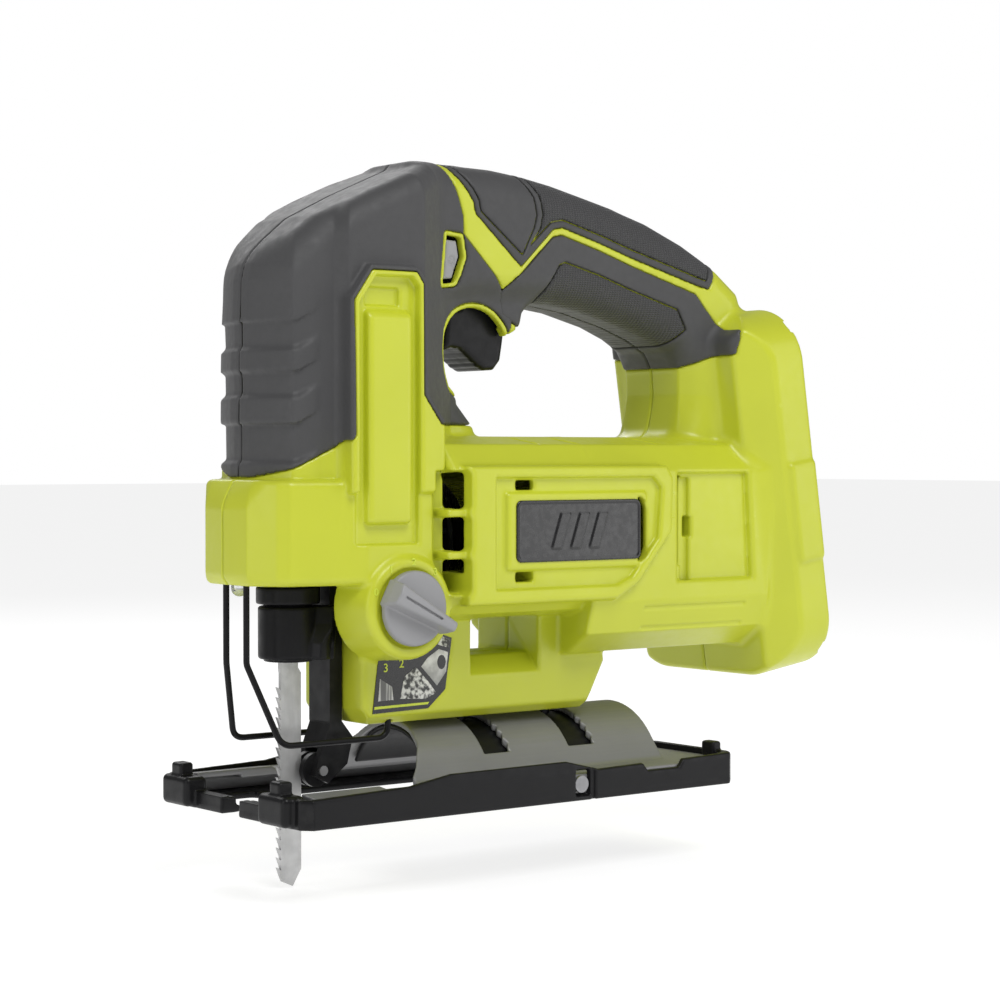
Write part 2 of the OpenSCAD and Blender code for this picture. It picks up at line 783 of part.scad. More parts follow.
module shoe_cover() {
    half = shoe_w / 2;
    color(black) difference() {
        union() {
            linear_extrude(2) polygon([[shoe_x0 + 6, -half], [shoe_x1 - 4, -half],
                [shoe_x1, -half + 4], [shoe_x1, half - 4], [shoe_x1 - 4, half],
                [shoe_x0 + 6, half], [shoe_x0 + 3, half - 5], [shoe_x0 + 3, -half + 5]]);
            for (s = [-1, 1]) {
                // side rail
                along_y(min(s * half, s * (half - 1.5)), max(s * half, s * (half - 1.5)))
                    polygon([[shoe_x0 + 4, 0], [shoe_x1 - 3, 0], [shoe_x1 - 3, 10], [62, 9.5],
                    [60, 7.5], [48, 7.5], [46, 9.5], [28, 9.5], [16, rail_h], [-30, rail_h],
                    [-45, 10], [shoe_x0 + 4, 9]]);
                // horn at the front corner with its tab
                block(shoe_x0 + 1, shoe_x0 + 8, min(s * 20, s * 34), max(s * 20, s * 34), 0, 9);
                block(shoe_x0 + 2, shoe_x0 + 6, min(s * 25, s * 30), max(s * 25, s * 30), 8, 13);
                // rear tab
                block(shoe_x1 - 4, shoe_x1 - 1, min(s * 27, s * 32), max(s * 27, s * 32), 8, 12.5);
            }
            // front and rear bars
            block(shoe_x0 + 6, shoe_x0 + 9.8, -22, 22, 0, 5);
            block(shoe_x1 - 2, shoe_x1, -half + 4, half - 4, 0, 9.5);
        }
        // sole opening and the slot for the blade at the front
        block(-60, 68, -26, 26, -1, 3);
        block(shoe_x0 - 1, -58, -5, 5, -1, 20);
        block(-76.2, -58, -28, 28, -1, 3);
        // screw pockets in the side rails
        for (s = [-1, 1])
            rod_y(3, min(s * (half - 6), s * (half + 1)), max(s * (half - 6), s * (half + 1)), 20, 5);
    }
}
module cover_screws() {
    color(steel) for (s = [-1, 1])
        rod_y(2.6, min(s * (shoe_w / 2 - 1.4), s * (shoe_w / 2 - 0.4)),
            max(s * (shoe_w / 2 - 1.4), s * (shoe_w / 2 - 0.4)), 20, 5);
}
module bevel_saddle() {
    color(dark_steel) difference() {
        intersection() {
            rod_x(crown_r - plate_t - gap, -6, 45, 0);
            block(-6, 45, -8, 8, 17, 30);
        }
        for (x = [2, 36])
            rod_z(2.5, 10, 40, x);
    }
}
module bevel_screws() {
    color(dark_steel) for (x = [2, 36])
        difference() {
            union() {
                rod_z(2.5, 14, 35, x);
                rod_z(4.5, 13, 17, x);
            }
            translate([x, 0, 12]) cylinder(r = 2.3, h = 3.5, $fn = 6);
        }
}

// ---------- battery port and wiring ----------
module terminal_block() {
    color(black) at_flange() block(-socket_depth - 5, -socket_depth, -14, 14, -18, 18);
}
module battery_contacts() {
    color(brass) at_flange() for (s = [-1, 1])
        block(-socket_depth, -socket_depth + 12, s * 9 - 0.6, s * 9 + 0.6, -8, 8);
}
module battery_leads() {
    color([0.6, 0.08, 0.06]) for (k = [0, 1])
        wire([[75, -14, 87.5 + 4 * k], [75, -20, 87.5 + 4 * k], [99 - 3 * k, -20, 101 + 4 * k],
            [99 - 3 * k, -20, 140], [94, -7 + 3 * k, 148], [61.5, -7 + 5 * k, 168]], 1.2, 1.3);
}
module motor_leads() {
    color([0.05, 0.05, 0.06]) for (k = [0, 1])
        wire([[61.5, 7 - 5 * k, 164], [94, 7 - 3 * k, 148], [99 - 3 * k, 20, 140],
            [99 - 3 * k, 20, 101 + 4 * k], [66, 20, 93 + 4 * k], [58.5, 12, 84 + 4 * k]], 1.1, 1.2);
}

housing_left();
housing_right();
nose_cover_left();
nose_cover_right();
lower_grip_left();
lower_grip_right();
top_grip_left();
top_grip_right();
badge_plate_left();
badge_plate_right();
setting_label();
housing_screws();
trigger();
switch_module();
lock_off_button();
dial_knob();
orbit_cam();
motor_can();
motor_end_cap();
armature();
motor_bearings();
cooling_fan();
pinion();
gear_frame();
gear_axle();
drive_gear();
gear_bearing();
crank_pin();
crank_roller();
swing_carrier();
carrier_pin();
plunger_bushes();
plunger_seal();
plunger_rod();
plunger_yoke();
clamp_body();
clamp_lever();
blade();
orbit_lever();
lever_pin();
roller_axle();
backing_roller();
wire_guard();
led_lens();
led_board();
base_plate();
shoe_cover();
cover_screws();
bevel_saddle();
bevel_screws();
terminal_block();
battery_contacts();
battery_leads();
motor_leads();
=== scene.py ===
# Looks of the cordless jigsaw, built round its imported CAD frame. Shell shapes are in
# millimetres in the row frame and become metres when a mesh is made.
import json
import math

import bmesh
import bpy
import numpy as np
import openvdb
from mathutils import Matrix, Vector


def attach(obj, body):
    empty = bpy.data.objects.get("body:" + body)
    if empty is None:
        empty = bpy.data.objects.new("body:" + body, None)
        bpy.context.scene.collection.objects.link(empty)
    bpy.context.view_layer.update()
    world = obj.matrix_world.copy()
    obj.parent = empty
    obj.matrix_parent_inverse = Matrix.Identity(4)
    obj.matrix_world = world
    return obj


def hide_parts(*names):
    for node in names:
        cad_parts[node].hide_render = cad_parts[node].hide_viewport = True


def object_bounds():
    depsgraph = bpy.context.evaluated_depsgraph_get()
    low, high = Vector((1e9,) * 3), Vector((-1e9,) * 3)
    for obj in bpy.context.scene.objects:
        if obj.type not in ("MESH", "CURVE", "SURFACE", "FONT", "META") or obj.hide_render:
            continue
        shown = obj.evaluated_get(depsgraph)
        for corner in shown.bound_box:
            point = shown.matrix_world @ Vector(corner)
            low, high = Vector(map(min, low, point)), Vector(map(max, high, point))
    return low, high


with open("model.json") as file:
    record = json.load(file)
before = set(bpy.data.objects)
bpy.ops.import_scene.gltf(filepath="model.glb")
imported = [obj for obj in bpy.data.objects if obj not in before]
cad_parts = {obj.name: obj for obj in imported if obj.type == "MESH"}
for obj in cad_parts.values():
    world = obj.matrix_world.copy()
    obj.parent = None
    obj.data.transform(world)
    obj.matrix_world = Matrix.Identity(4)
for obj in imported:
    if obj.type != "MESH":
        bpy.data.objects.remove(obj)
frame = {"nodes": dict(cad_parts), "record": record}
CAD_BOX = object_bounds()
NODES = frame["nodes"]
MM = 0.001

# ---------- camera, light, floor ----------
camera_data = bpy.data.cameras.new("camera")
camera = bpy.data.objects.new("camera", camera_data)
bpy.context.collection.objects.link(camera)
camera.location = (-0.4533, -0.6044, 0.1062)
camera.rotation_euler = (math.radians(90 - 1.07), 0, math.radians(-38))
camera_data.lens = 86.4
camera_data.sensor_width = 36
bpy.context.scene.camera = camera


def lamp(name, spot, aim, size, watts):
    data = bpy.data.lights.new(name, "AREA")
    data.shape = "RECTANGLE"
    data.size, data.size_y = size
    data.energy = watts
    lamp_object = bpy.data.objects.new(name, data)
    lamp_object.location = spot
    to = Vector(aim) - Vector(spot)
    lamp_object.rotation_euler = to.to_track_quat("-Z", "Y").to_euler()
    bpy.context.collection.objects.link(lamp_object)


lamp("key", (-0.15, -0.75, 0.95), (0, 0, 0.08), (0.5, 0.5), 6.6)
lamp("front", (-1.1, -0.15, 0.45), (0, 0, 0.1), (0.4, 0.8), 2.0)
lamp("side", (0.75, -0.8, 0.35), (0.03, 0, 0.09), (0.4, 0.9), 2.0)
lamp("back", (0.2, 0.9, 0.8), (0, 0, 0.1), (0.9, 0.5), 5)
world = bpy.data.worlds.new("studio")
world.use_nodes = True
background = world.node_tree.nodes["Background"]
background.inputs[0].default_value = (1, 1, 1, 1)
background.inputs[1].default_value = 0.22
# the backdrop that the camera sees is paler than the light that it gives
backdrop = world.node_tree.nodes.new("ShaderNodeBackground")
backdrop.inputs[0].default_value = (1, 1, 1, 1)
backdrop.inputs[1].default_value = 1.0
seen = world.node_tree.nodes.new("ShaderNodeLightPath")
blend = world.node_tree.nodes.new("ShaderNodeMixShader")
join = world.node_tree.links.new
join(seen.outputs["Is Camera Ray"], blend.inputs[0])
join(background.outputs[0], blend.inputs[1])
join(backdrop.outputs[0], blend.inputs[2])
join(blend.outputs[0], world.node_tree.nodes["World Output"].inputs[0])
bpy.context.scene.world = world
bpy.context.scene.view_settings.view_transform = "Standard"


# ---------- materials ----------
class Shader:
    """Builds one material's nodes. Positions are object coordinates, which are the row's."""

    def __init__(self, name):
        self.material = bpy.data.materials.new(name)
        self.material.use_nodes = True
        self.tree = self.material.node_tree
        self.bsdf = self.tree.nodes["Principled BSDF"]
        self.coord = self.tree.nodes.new("ShaderNodeTexCoord").outputs["Object"]

    def node(self, kind, **inputs):
        n = self.tree.nodes.new(kind)
        for key, value in inputs.items():
            self.put(n.inputs[int(key[1:])] if key[0] == "i" and key[1:].isdigit()
                     else n.inputs[key], value)
        return n

    def put(self, socket, value):
        if isinstance(value, bpy.types.NodeSocket):
            self.tree.links.new(value, socket)
        else:
            socket.default_value = value

    def math(self, op, a, b=0.0, c=None):
        n = self.node("ShaderNodeMath", i0=a, i1=b)
        n.operation = op
        if c is not None:
            self.put(n.inputs[2], c)
        return n.outputs[0]

    def noise(self, scale, detail=2.0, stretch=None, rough=0.5):
        place = self.coord
        if stretch:
            m = self.node("ShaderNodeMapping", Vector=self.coord)
            m.inputs["Scale"].default_value = stretch
            place = m.outputs[0]
        n = self.node("ShaderNodeTexNoise", Vector=place, Scale=scale, Detail=detail,
                      Roughness=rough)
        return n.outputs["Fac"]

    def span(self, value, low, high, start=0.3, stop=0.7):
        n = self.node("ShaderNodeMapRange", Value=value)
        n.inputs[1].default_value, n.inputs[2].default_value = start, stop
        n.inputs[3].default_value, n.inputs[4].default_value = low, high
        return n.outputs[0]

    def mix(self, fac, a, b):
        n = self.tree.nodes.new("ShaderNodeMix")
        n.data_type = "RGBA"
        self.put(n.inputs[0], fac)
        self.put(n.inputs[6], a)
        self.put(n.inputs[7], b)
        return n.outputs[2]

    def bump(self, height, strength, distance, under=None):
        n = self.node("ShaderNodeBump", Height=height, Strength=strength, Distance=distance)
        if under is not None:
            self.put(n.inputs["Normal"], under)
        return n.outputs[0]


def rgba(c, k=1.0):
    return (min(c[0] * k, 1), min(c[1] * k, 1), min(c[2] * k, 1), 1)


def surface(name, colour, rough=0.45, metal=0.0, grain=1500, grain_depth=0.00004,
            mottle=0.06, wear=0.0, wear_colour=None, stretch=None, coat=0.0, sheen=0.0,
            gloss=0.5):
    s = Shader(name)
    broad = s.noise(38, 3)
    tone = s.mix(s.span(broad, 0, 1), rgba(colour, 1 - mottle), rgba(colour, 1 + mottle))
    if wear:
        geometry = s.tree.nodes.new("ShaderNodeNewGeometry")
        edge = s.span(geometry.outputs["Pointiness"], 0, 1, 0.53, 0.60)
        edge = s.math("MULTIPLY", edge, s.span(s.noise(160, 4), 0, wear, 0.4, 0.65))
        tone = s.mix(edge, tone, rgba(wear_colour or [min(c * 1.6 + 0.05, 1) for c in colour]))
    s.put(s.bsdf.inputs["Base Color"], tone)
    fine = s.noise(grain, 2, stretch)
    s.put(s.bsdf.inputs["Roughness"], s.span(s.noise(grain / 6, 3, stretch),
                                             rough - 0.06, rough + 0.08))
    s.bsdf.inputs["Metallic"].default_value = metal
    s.bsdf.inputs["Specular IOR Level"].default_value = gloss
    s.bsdf.inputs["Coat Weight"].default_value = coat
    s.bsdf.inputs["Coat Roughness"].default_value = 0.2
    s.bsdf.inputs["Sheen Weight"].default_value = sheen
    s.put(s.bsdf.inputs["Normal"], s.bump(fine, 0.35, grain_depth))
    return s


LIME = (0.555, 0.605, 0.030)
lime = surface("lime_nylon", LIME, 0.36, grain=1900, grain_depth=0.00003, mottle=0.025,
               wear=0.3, wear_colour=(0.70, 0.78, 0.16), coat=0.12).material
gray_rubber = surface("gray_overmould", (0.056, 0.056, 0.058), 0.58, grain=2400,
                      grain_depth=0.00006, mottle=0.06, sheen=0.08, wear=0.25,
                      wear_colour=(0.14, 0.14, 0.14)).material


def woven(name, colour, pitch=0.0021):
    """Overmould with a small raised diamond weave, laid in the side view."""
    s = surface(name, colour, 0.58, grain=2400, grain_depth=0.00003, sheen=0.08)
    split = s.node("ShaderNodeSeparateXYZ", Vector=s.coord)
    x, z = split.outputs[0], split.outputs[2]
    turn = 2 * math.pi / pitch
    up = s.math("SINE", s.math("MULTIPLY", s.math("ADD", x, s.math("MULTIPLY", z, 1.6)), turn))
    down = s.math("SINE", s.math("MULTIPLY",
                                 s.math("SUBTRACT", x, s.math("MULTIPLY", z, 1.6)), turn))
    cell = s.math("MULTIPLY", up, down)
    height = s.span(cell, 0, 1, -0.4, 0.6)
    s.put(s.bsdf.inputs["Normal"], s.bump(height, 0.9, 0.0003))
    # the weave's grooves are painted darker and its raised tops lighter: painted shade and
    # painted highlight on the weave
    s.put(s.bsdf.inputs["Base Color"], s.mix(height, rgba(colour, 0.62), rgba(colour, 1.12)))
    return s.material


gray_weave = woven("gray_overmould_weave", (0.055, 0.055, 0.057))
black_nylon = surface("black_nylon", (0.008, 0.008, 0.009), 0.34, grain=2000, gloss=0.22,
                      grain_depth=0.00005, wear=0.3, wear_colour=(0.05, 0.05, 0.05)).material
black_gloss = surface("black_badge", (0.006, 0.006, 0.007), 0.26, grain=3000,
                      grain_depth=0.00001, coat=0.3).material
button_gray = surface("button_gray", (0.30, 0.30, 0.31), 0.40, grain=1800, wear=0.3,
                      wear_colour=(0.45, 0.45, 0.45)).material
black_oxide = surface("black_oxide", (0.010, 0.010, 0.011), 0.36, metal=0.3, grain=1400,
                      grain_depth=0.00002, wear=0.25, wear_colour=(0.06, 0.06, 0.06),
                      gloss=0.22).material
soft_black = surface("seal_rubber", (0.015, 0.015, 0.015), 0.7, grain=1500).material
bright_steel = surface("ground_steel", (0.55, 0.55, 0.56), 0.27, metal=1, grain=900,
                       grain_depth=0.00001, stretch=(1, 12, 1)).material
dark_steel = surface("zinc_steel", (0.24, 0.24, 0.25), 0.38, metal=0.9, grain=1100,
                     wear=0.4).material
cast_alu = surface("cast_aluminium", (0.52, 0.52, 0.53), 0.5, metal=0.9, grain=500,
                   grain_depth=0.0001).material
bronze = surface("sintered_bronze", (0.55, 0.40, 0.18), 0.42, metal=0.9, grain=1300).material
copper = surface("varnished_copper", (0.50, 0.22, 0.10), 0.35, metal=0.85, grain=700,
                 grain_depth=0.0001, stretch=(1, 8, 8)).material
blade_steel = surface("blade_steel", (0.46, 0.46, 0.46), 0.40, metal=0.85, grain=800,
                      grain_depth=0.00002, stretch=(12, 1, 1), wear=0.4).material
shoe_steel = surface("shoe_steel", (0.25, 0.25, 0.255), 0.48, metal=0.4, grain=420,
                     grain_depth=0.00002, stretch=(0.6, 14, 14), mottle=0.05, wear=0.3).material
board_green = surface("circuit_board", (0.02, 0.14, 0.06), 0.35, grain=1200).material
red_sleeve = surface("red_sleeve", (0.42, 0.02, 0.015), 0.45, grain=1000).material
black_sleeve = surface("black_sleeve", (0.012, 0.012, 0.012), 0.45, grain=1000).material
lens = surface("clear_lens", (0.92, 0.95, 1.0), 0.08, grain=600, grain_depth=0.00001)
lens.bsdf.inputs["Transmission Weight"].default_value = 0.85
lens = lens.material

lime_print = surface("lime_print", (0.62, 0.72, 0.06), 0.45, grain=2500,
                     grain_depth=0.00001).material


def speckled(name, low, high, scale, stretch=None, start=0.42, stop=0.58):
    look = surface(name, (0.6, 0.6, 0.58), 0.5, grain=2500, grain_depth=0.00001)
    look.put(look.bsdf.inputs["Base Color"], look.mix(
        look.span(look.noise(scale, 5, stretch), 0, 1, start, stop), rgba(low), rgba(high)))
    return look.material


patch_bar = speckled("patch_bar", (0.16, 0.16, 0.16), (0.62, 0.62, 0.60), 420, (4, 1, 0.1))
patch_chips = speckled("patch_chips", (0.06, 0.06, 0.06), (0.75, 0.75, 0.72), 700)
patch_plain = speckled("patch_plain", (0.35, 0.35, 0.34), (0.72, 0.72, 0.70), 120)

SLOT_LOOK = {
    "lime_plastic": lime, "gray_rubber": gray_rubber, "trigger_plastic": black_nylon,
    "badge_black": black_gloss, "black_plastic": black_nylon,
    "light_gray_plastic": button_gray, "black_metal": black_oxide,
    "black_rubber": soft_black, "bright_steel": bright_steel, "dark_steel": dark_steel,
    "cast_aluminium": cast_alu, "bearing_bronze": bronze, "winding_copper": copper,
    "blade_steel": blade_steel, "shoe_steel": shoe_steel, "clear_lens": lens,
    "circuit_board": board_green, "red_lead": red_sleeve, "black_lead": black_sleeve}
SLOT_OF = {s["node"]: s["material_slot"] for s in frame["record"]["subparts"]}


def smooth_by_angle(mesh, degrees):
    mesh.shade_smooth()
    mesh.set_sharp_from_angle(angle=math.radians(degrees))


def round_edges(obj, width):
    bevel = obj.modifiers.new("round", "BEVEL")
    bevel.width = width
    bevel.segments = 2
    bevel.limit_method = "ANGLE"
    bevel.angle_limit = math.radians(30)
    bevel.use_clamp_overlap = True


for node_name, node_object in NODES.items():
    node_object.data.materials.clear()
    node_object.data.materials.append(SLOT_LOOK[SLOT_OF[node_name]])


# ---------- shapes from distance fields ----------
STEP = 0.6          # mm between samples of the body
FINE = 0.42         # and of the shoe


class Grid:
    """A block of sample points, in mm, with the fields that shapes are made from."""

    def __init__(self, low, high, step=STEP):
        self.low, self.step = np.array(low, float), step
        counts = np.ceil((np.array(high) - self.low) / step).astype(int) + 1
        axes = [self.low[i] + step * np.arange(counts[i]) for i in range(3)]
        self.x = axes[0].reshape(-1, 1, 1).astype(np.float32)
        self.y = axes[1].reshape(1, -1, 1).astype(np.float32)
        self.z = axes[2].reshape(1, 1, -1).astype(np.float32)

    def box(self, x0, x1, y0, y1, z0, z1, r=0.0):
        return round_box(self.x, self.y, self.z, x0, x1, y0, y1, z0, z1, r)

    def mesh(self, field, name):
        # a field from the body outwards; a border of outside points closes what it cuts
        field = np.broadcast_to(field, (self.x.size, self.y.size, self.z.size)).copy()
        for axis in range(3):
            edge = [slice(None)] * 3
            for end in (0, -1):
                edge[axis] = end
                field[tuple(edge)] = np.maximum(field[tuple(edge)], self.step)
        grid = openvdb.FloatGrid(background=float(self.step * 3))
        field = np.clip(field, -self.step * 3, self.step * 3).astype(np.float32)
        grid.copyFromArray(field, tolerance=0.0)
        points, triangles, quads = grid.convertToPolygons(isovalue=0.0, adaptivity=0.0)
        points = (np.asarray(points) * self.step + self.low) * MM
        mesh = bpy.data.meshes.new(name)
        faces = [tuple(int(i) for i in f) for f in triangles]
        faces += [tuple(int(i) for i in f) for f in quads]
        mesh.from_pydata(points.tolist(), [], faces)
        mesh.validate()
        obj = bpy.data.objects.new(name, mesh)
        bpy.context.collection.objects.link(obj)
        b = bmesh.new()
        b.from_mesh(mesh)
        bmesh.ops.recalc_face_normals(b, faces=b.faces)
        b.to_mesh(mesh)
        b.free()
        mesh.shade_smooth()
        return obj


def round_box(x, y, z, x0, x1, y0, y1, z0, z1, r=0.0):
    dx = np.abs(x - (x0 + x1) / 2) - (x1 - x0) / 2 + r
    dy = np.abs(y - (y0 + y1) / 2) - (y1 - y0) / 2 + r
    dz = np.abs(z - (z0 + z1) / 2) - (z1 - z0) / 2 + r
    out = np.sqrt(np.maximum(dx, 0) ** 2 + np.maximum(dy, 0) ** 2 + np.maximum(dz, 0) ** 2)
    return out + np.minimum(np.maximum(np.maximum(dx, dy), dz), 0) - r


def outline(u, v, points):
    """Signed distance in a plane to a closed outline; negative inside."""
    p = np.array(points, float)
    u, v = np.broadcast_arrays(u, v)
    best = np.full(u.shape, 1e9)
    inside = np.zeros(u.shape, bool)
    for a, b in zip(p, np.roll(p, -1, 0)):
        e = b - a
        t = np.clip(((u - a[0]) * e[0] + (v - a[1]) * e[1]) / (e @ e), 0, 1)
        best = np.minimum(best, (u - a[0] - t * e[0]) ** 2 + (v - a[1] - t * e[1]) ** 2)
        crosses = (a[1] > v) != (b[1] > v)
        if abs(e[1]) > 1e-9:
            inside ^= crosses & (u < a[0] + (v - a[1]) / e[1] * e[0])
    return np.where(inside, -np.sqrt(best), np.sqrt(best)).astype(np.float32)


def both(a, b, r=0.0):
    """Where two fields overlap, with their common edge rounded to radius r."""
    if r <= 0:
        return np.maximum(a, b)
    out = np.sqrt(np.maximum(a + r, 0) ** 2 + np.maximum(b + r, 0) ** 2)
    return np.minimum(np.maximum(a, b), -r) + out


def either(a, b, r=0.0):
    """Two fields together, with a fillet of radius r where they meet."""
    return -both(-a, -b, r)


def cut(a, b, r=0.0):
    return both(a, -b, r)


def steps(v, points):
    """A value that changes along v as a list of (place, value) says."""
    p = np.array(points, float)
    return np.interp(v, p[:, 0], p[:, 1]).astype(np.float32)


# ---------- outlines of the body, in mm ----------
NOSE_SIDE = [(-80.4, 92), (8, 92), (4, 115), (-3, 122.5), (-3.8, 133), (-3.4, 146), (2, 154),
             (12, 158), (12, 188), (-4.9, 195.4), (-22.2, 195), (-46.4, 184.4),
             (-62.2, 176.5), (-70.3, 169.8), (-77.4, 163), (-79.4, 158)]
NOSE_PLAN = [(-80.6, 30), (-80.6, 0), (-80, -5), (-72, -18.8), (-66, -20.6), (-59.5, -22),
             (-57, -26), (-31, -27.2), (-19, -18.5), (-9, -10.5), (16, -9.5), (16, 30)]
BUMPER_SIDE = [(-82.4, 68), (-22, 68), (-22, 99), (-80.6, 99), (-85.1, 91), (-85.1, 70.6)]
BUMPER_PLAN = [(-85.1, 30), (-85.1, 0), (-83.3, -11.5), (-78, -19.5), (-74.8, -22),
               (-60, -25.4), (-52, -28), (-20, -28), (-20, 30)]
GUARD_SIDE = [(-20, 150), (-12, 142), (12.4, 143.4), (16.2, 145.2), (17.6, 147.6),
              (18.4, 151), (23, 156), (23, 164), (-20, 164)]
HANDLE_SIDE = [(-24, 150), (0, 154.5), (31.6, 154.3), (43.7, 152.8), (60.9, 148.5),
               (72, 144.6), (80, 140.5), (84.6, 134), (85.6, 126), (81.5, 115), (77, 108),
               (81, 98), (114, 98), (111, 150), (107, 161), (98, 168.3), (84, 176),
               (69.6, 182.2), (56, 186.4), (43.7, 189.2), (31, 192), (18.9, 194),
               (7, 195.2), (-4.9, 195.4), (-24, 195)]
FOOT_SIDE = [(-42, 25.3), (41, 25.3), (44, 30), (49.4, 40), (47, 60), (-16, 72), (-45.4, 72),
             (-45.4, 30)]
MOTOR_ENDS = [(0, 56), (0, 112), (-16, 112), (-26, 109.5), (-33, 101), (-33, 65), (-27, 58),
              (-20, 56)]
REAR_ENDS = [(0, 43.5), (0, 112), (-16, 112), (-26, 109.5), (-33, 101), (-33, 60),
             (-30, 50), (-20, 43.5)]
COVER_ZONE = [(-95, 99.5), (-78.3, 99.5), (-71.5, 102.6), (-59.3, 108.5), (-56.8, 112),
              (-57.4, 151.5), (-51, 160.5), (-35, 160.5), (-32.6, 157), (-32.3, 124),
              (-26, 115.5), (10, 115.5), (14, 150), (7.6, 158.5),
              (-8.2, 174), (-8.4, 179.5), (-10, 184.5), (-16, 200), (-95, 200)]
LOWER_ZONE = [(7.6, 157), (9.5, 150), (70, 120), (81, 134), (93.6, 139.5), (94.8, 148.5),
              (85.5, 159.3), (46.4, 171.6), (30.6, 175.8), (27, 175), (15, 163.6)]
LOWER_WEAVE = [(21, 152.5), (21, 120), (76, 120), (76, 141.5), (81.9, 147.5), (78.3, 154),
               (46, 164), (32, 167.4), (29.5, 166.4)]
TOP_ZONE = [(14.3, 165), (27.2, 177.4), (30.8, 178.2), (46.6, 174), (86, 162.2), (91, 161),
            (98, 171), (70, 200), (-13.4, 200), (-10, 192), (-4.4, 184), (-3.7, 180.7)]
TOP_PATCH = [(14.8, 168.6), (-1.8, 181.4), (-2.6, 185), (-8.2, 193), (-11, 200), (11, 200),
             (15.6, 194), (19.4, 187), (20.6, 181.6), (19.6, 177.6)]
TOP_WEAVE = [(17.6, 171.6), (21.8, 177.4), (22.8, 181.8), (21.6, 187.8), (17.6, 195),
             (15, 200), (66, 200), (94.5, 171), (90, 163.6), (47, 176.4), (31, 180.5),
             (26.4, 179.6)]
LOCK_WINDOW = [(-16.8, 158.4), (-11.5, 159), (-8.4, 167), (-9.5, 173), (-15, 173.4)]
SURROUND = [(-58.2, 95), (-58.4, 152), (-51.4, 161.8), (-34.6, 161.8), (-31.4, 157.6),
            (-30.9, 124.6), (-24.6, 116), (-24.6, 95)]
CHANNEL = [(-55.4, 80), (-55.4, 150.6), (-49.6, 158.8), (-36.2, 159), (-33.8, 156.2),
           (-33.6, 124), (-33.6, 80)]
PANEL = [(-20.5, 61), (38, 61), (47, 66), (61, 82), (61.6, 99), (59, 103), (-20.5, 103)]
PANEL_IN = [(-10, 65.5), (38, 65.5), (44, 68), (55, 80), (56.4, 96), (53, 99.4), (-10, 99.4)]
LABEL = [(-42.3, 28.4), (-21.2, 28.9), (-14.6, 34.4), (-12, 50.4), (-16, 51.8), (-22.6, 49.4),
         (-30, 45.8), (-40.2, 45)]
FLANGE_AT, FLANGE_TILT = (124.2, 95.5), math.radians(8.5)
PLUNGER_X = -61.6
DIAL = (-38, 61)
MOUTH = (-1, 138.5)     # middle of the round mouth over the trigger
MOUTH_R, LIP_R = 13.4, 14.9
BOSS_R = 15.2           # boss round the dial
PARTING = 0.12          # half the gap between two moulded pieces
WALL = 3.0              # shell
SKIN = 1.3              # how far the shell is sunk under an overmould
BADGE_Y = -35.0         # floor of the badge's seat
LABEL_Y = -16.0         # face of the setting label
SHEET = 0.95            # half the thickness of the shoe's steel


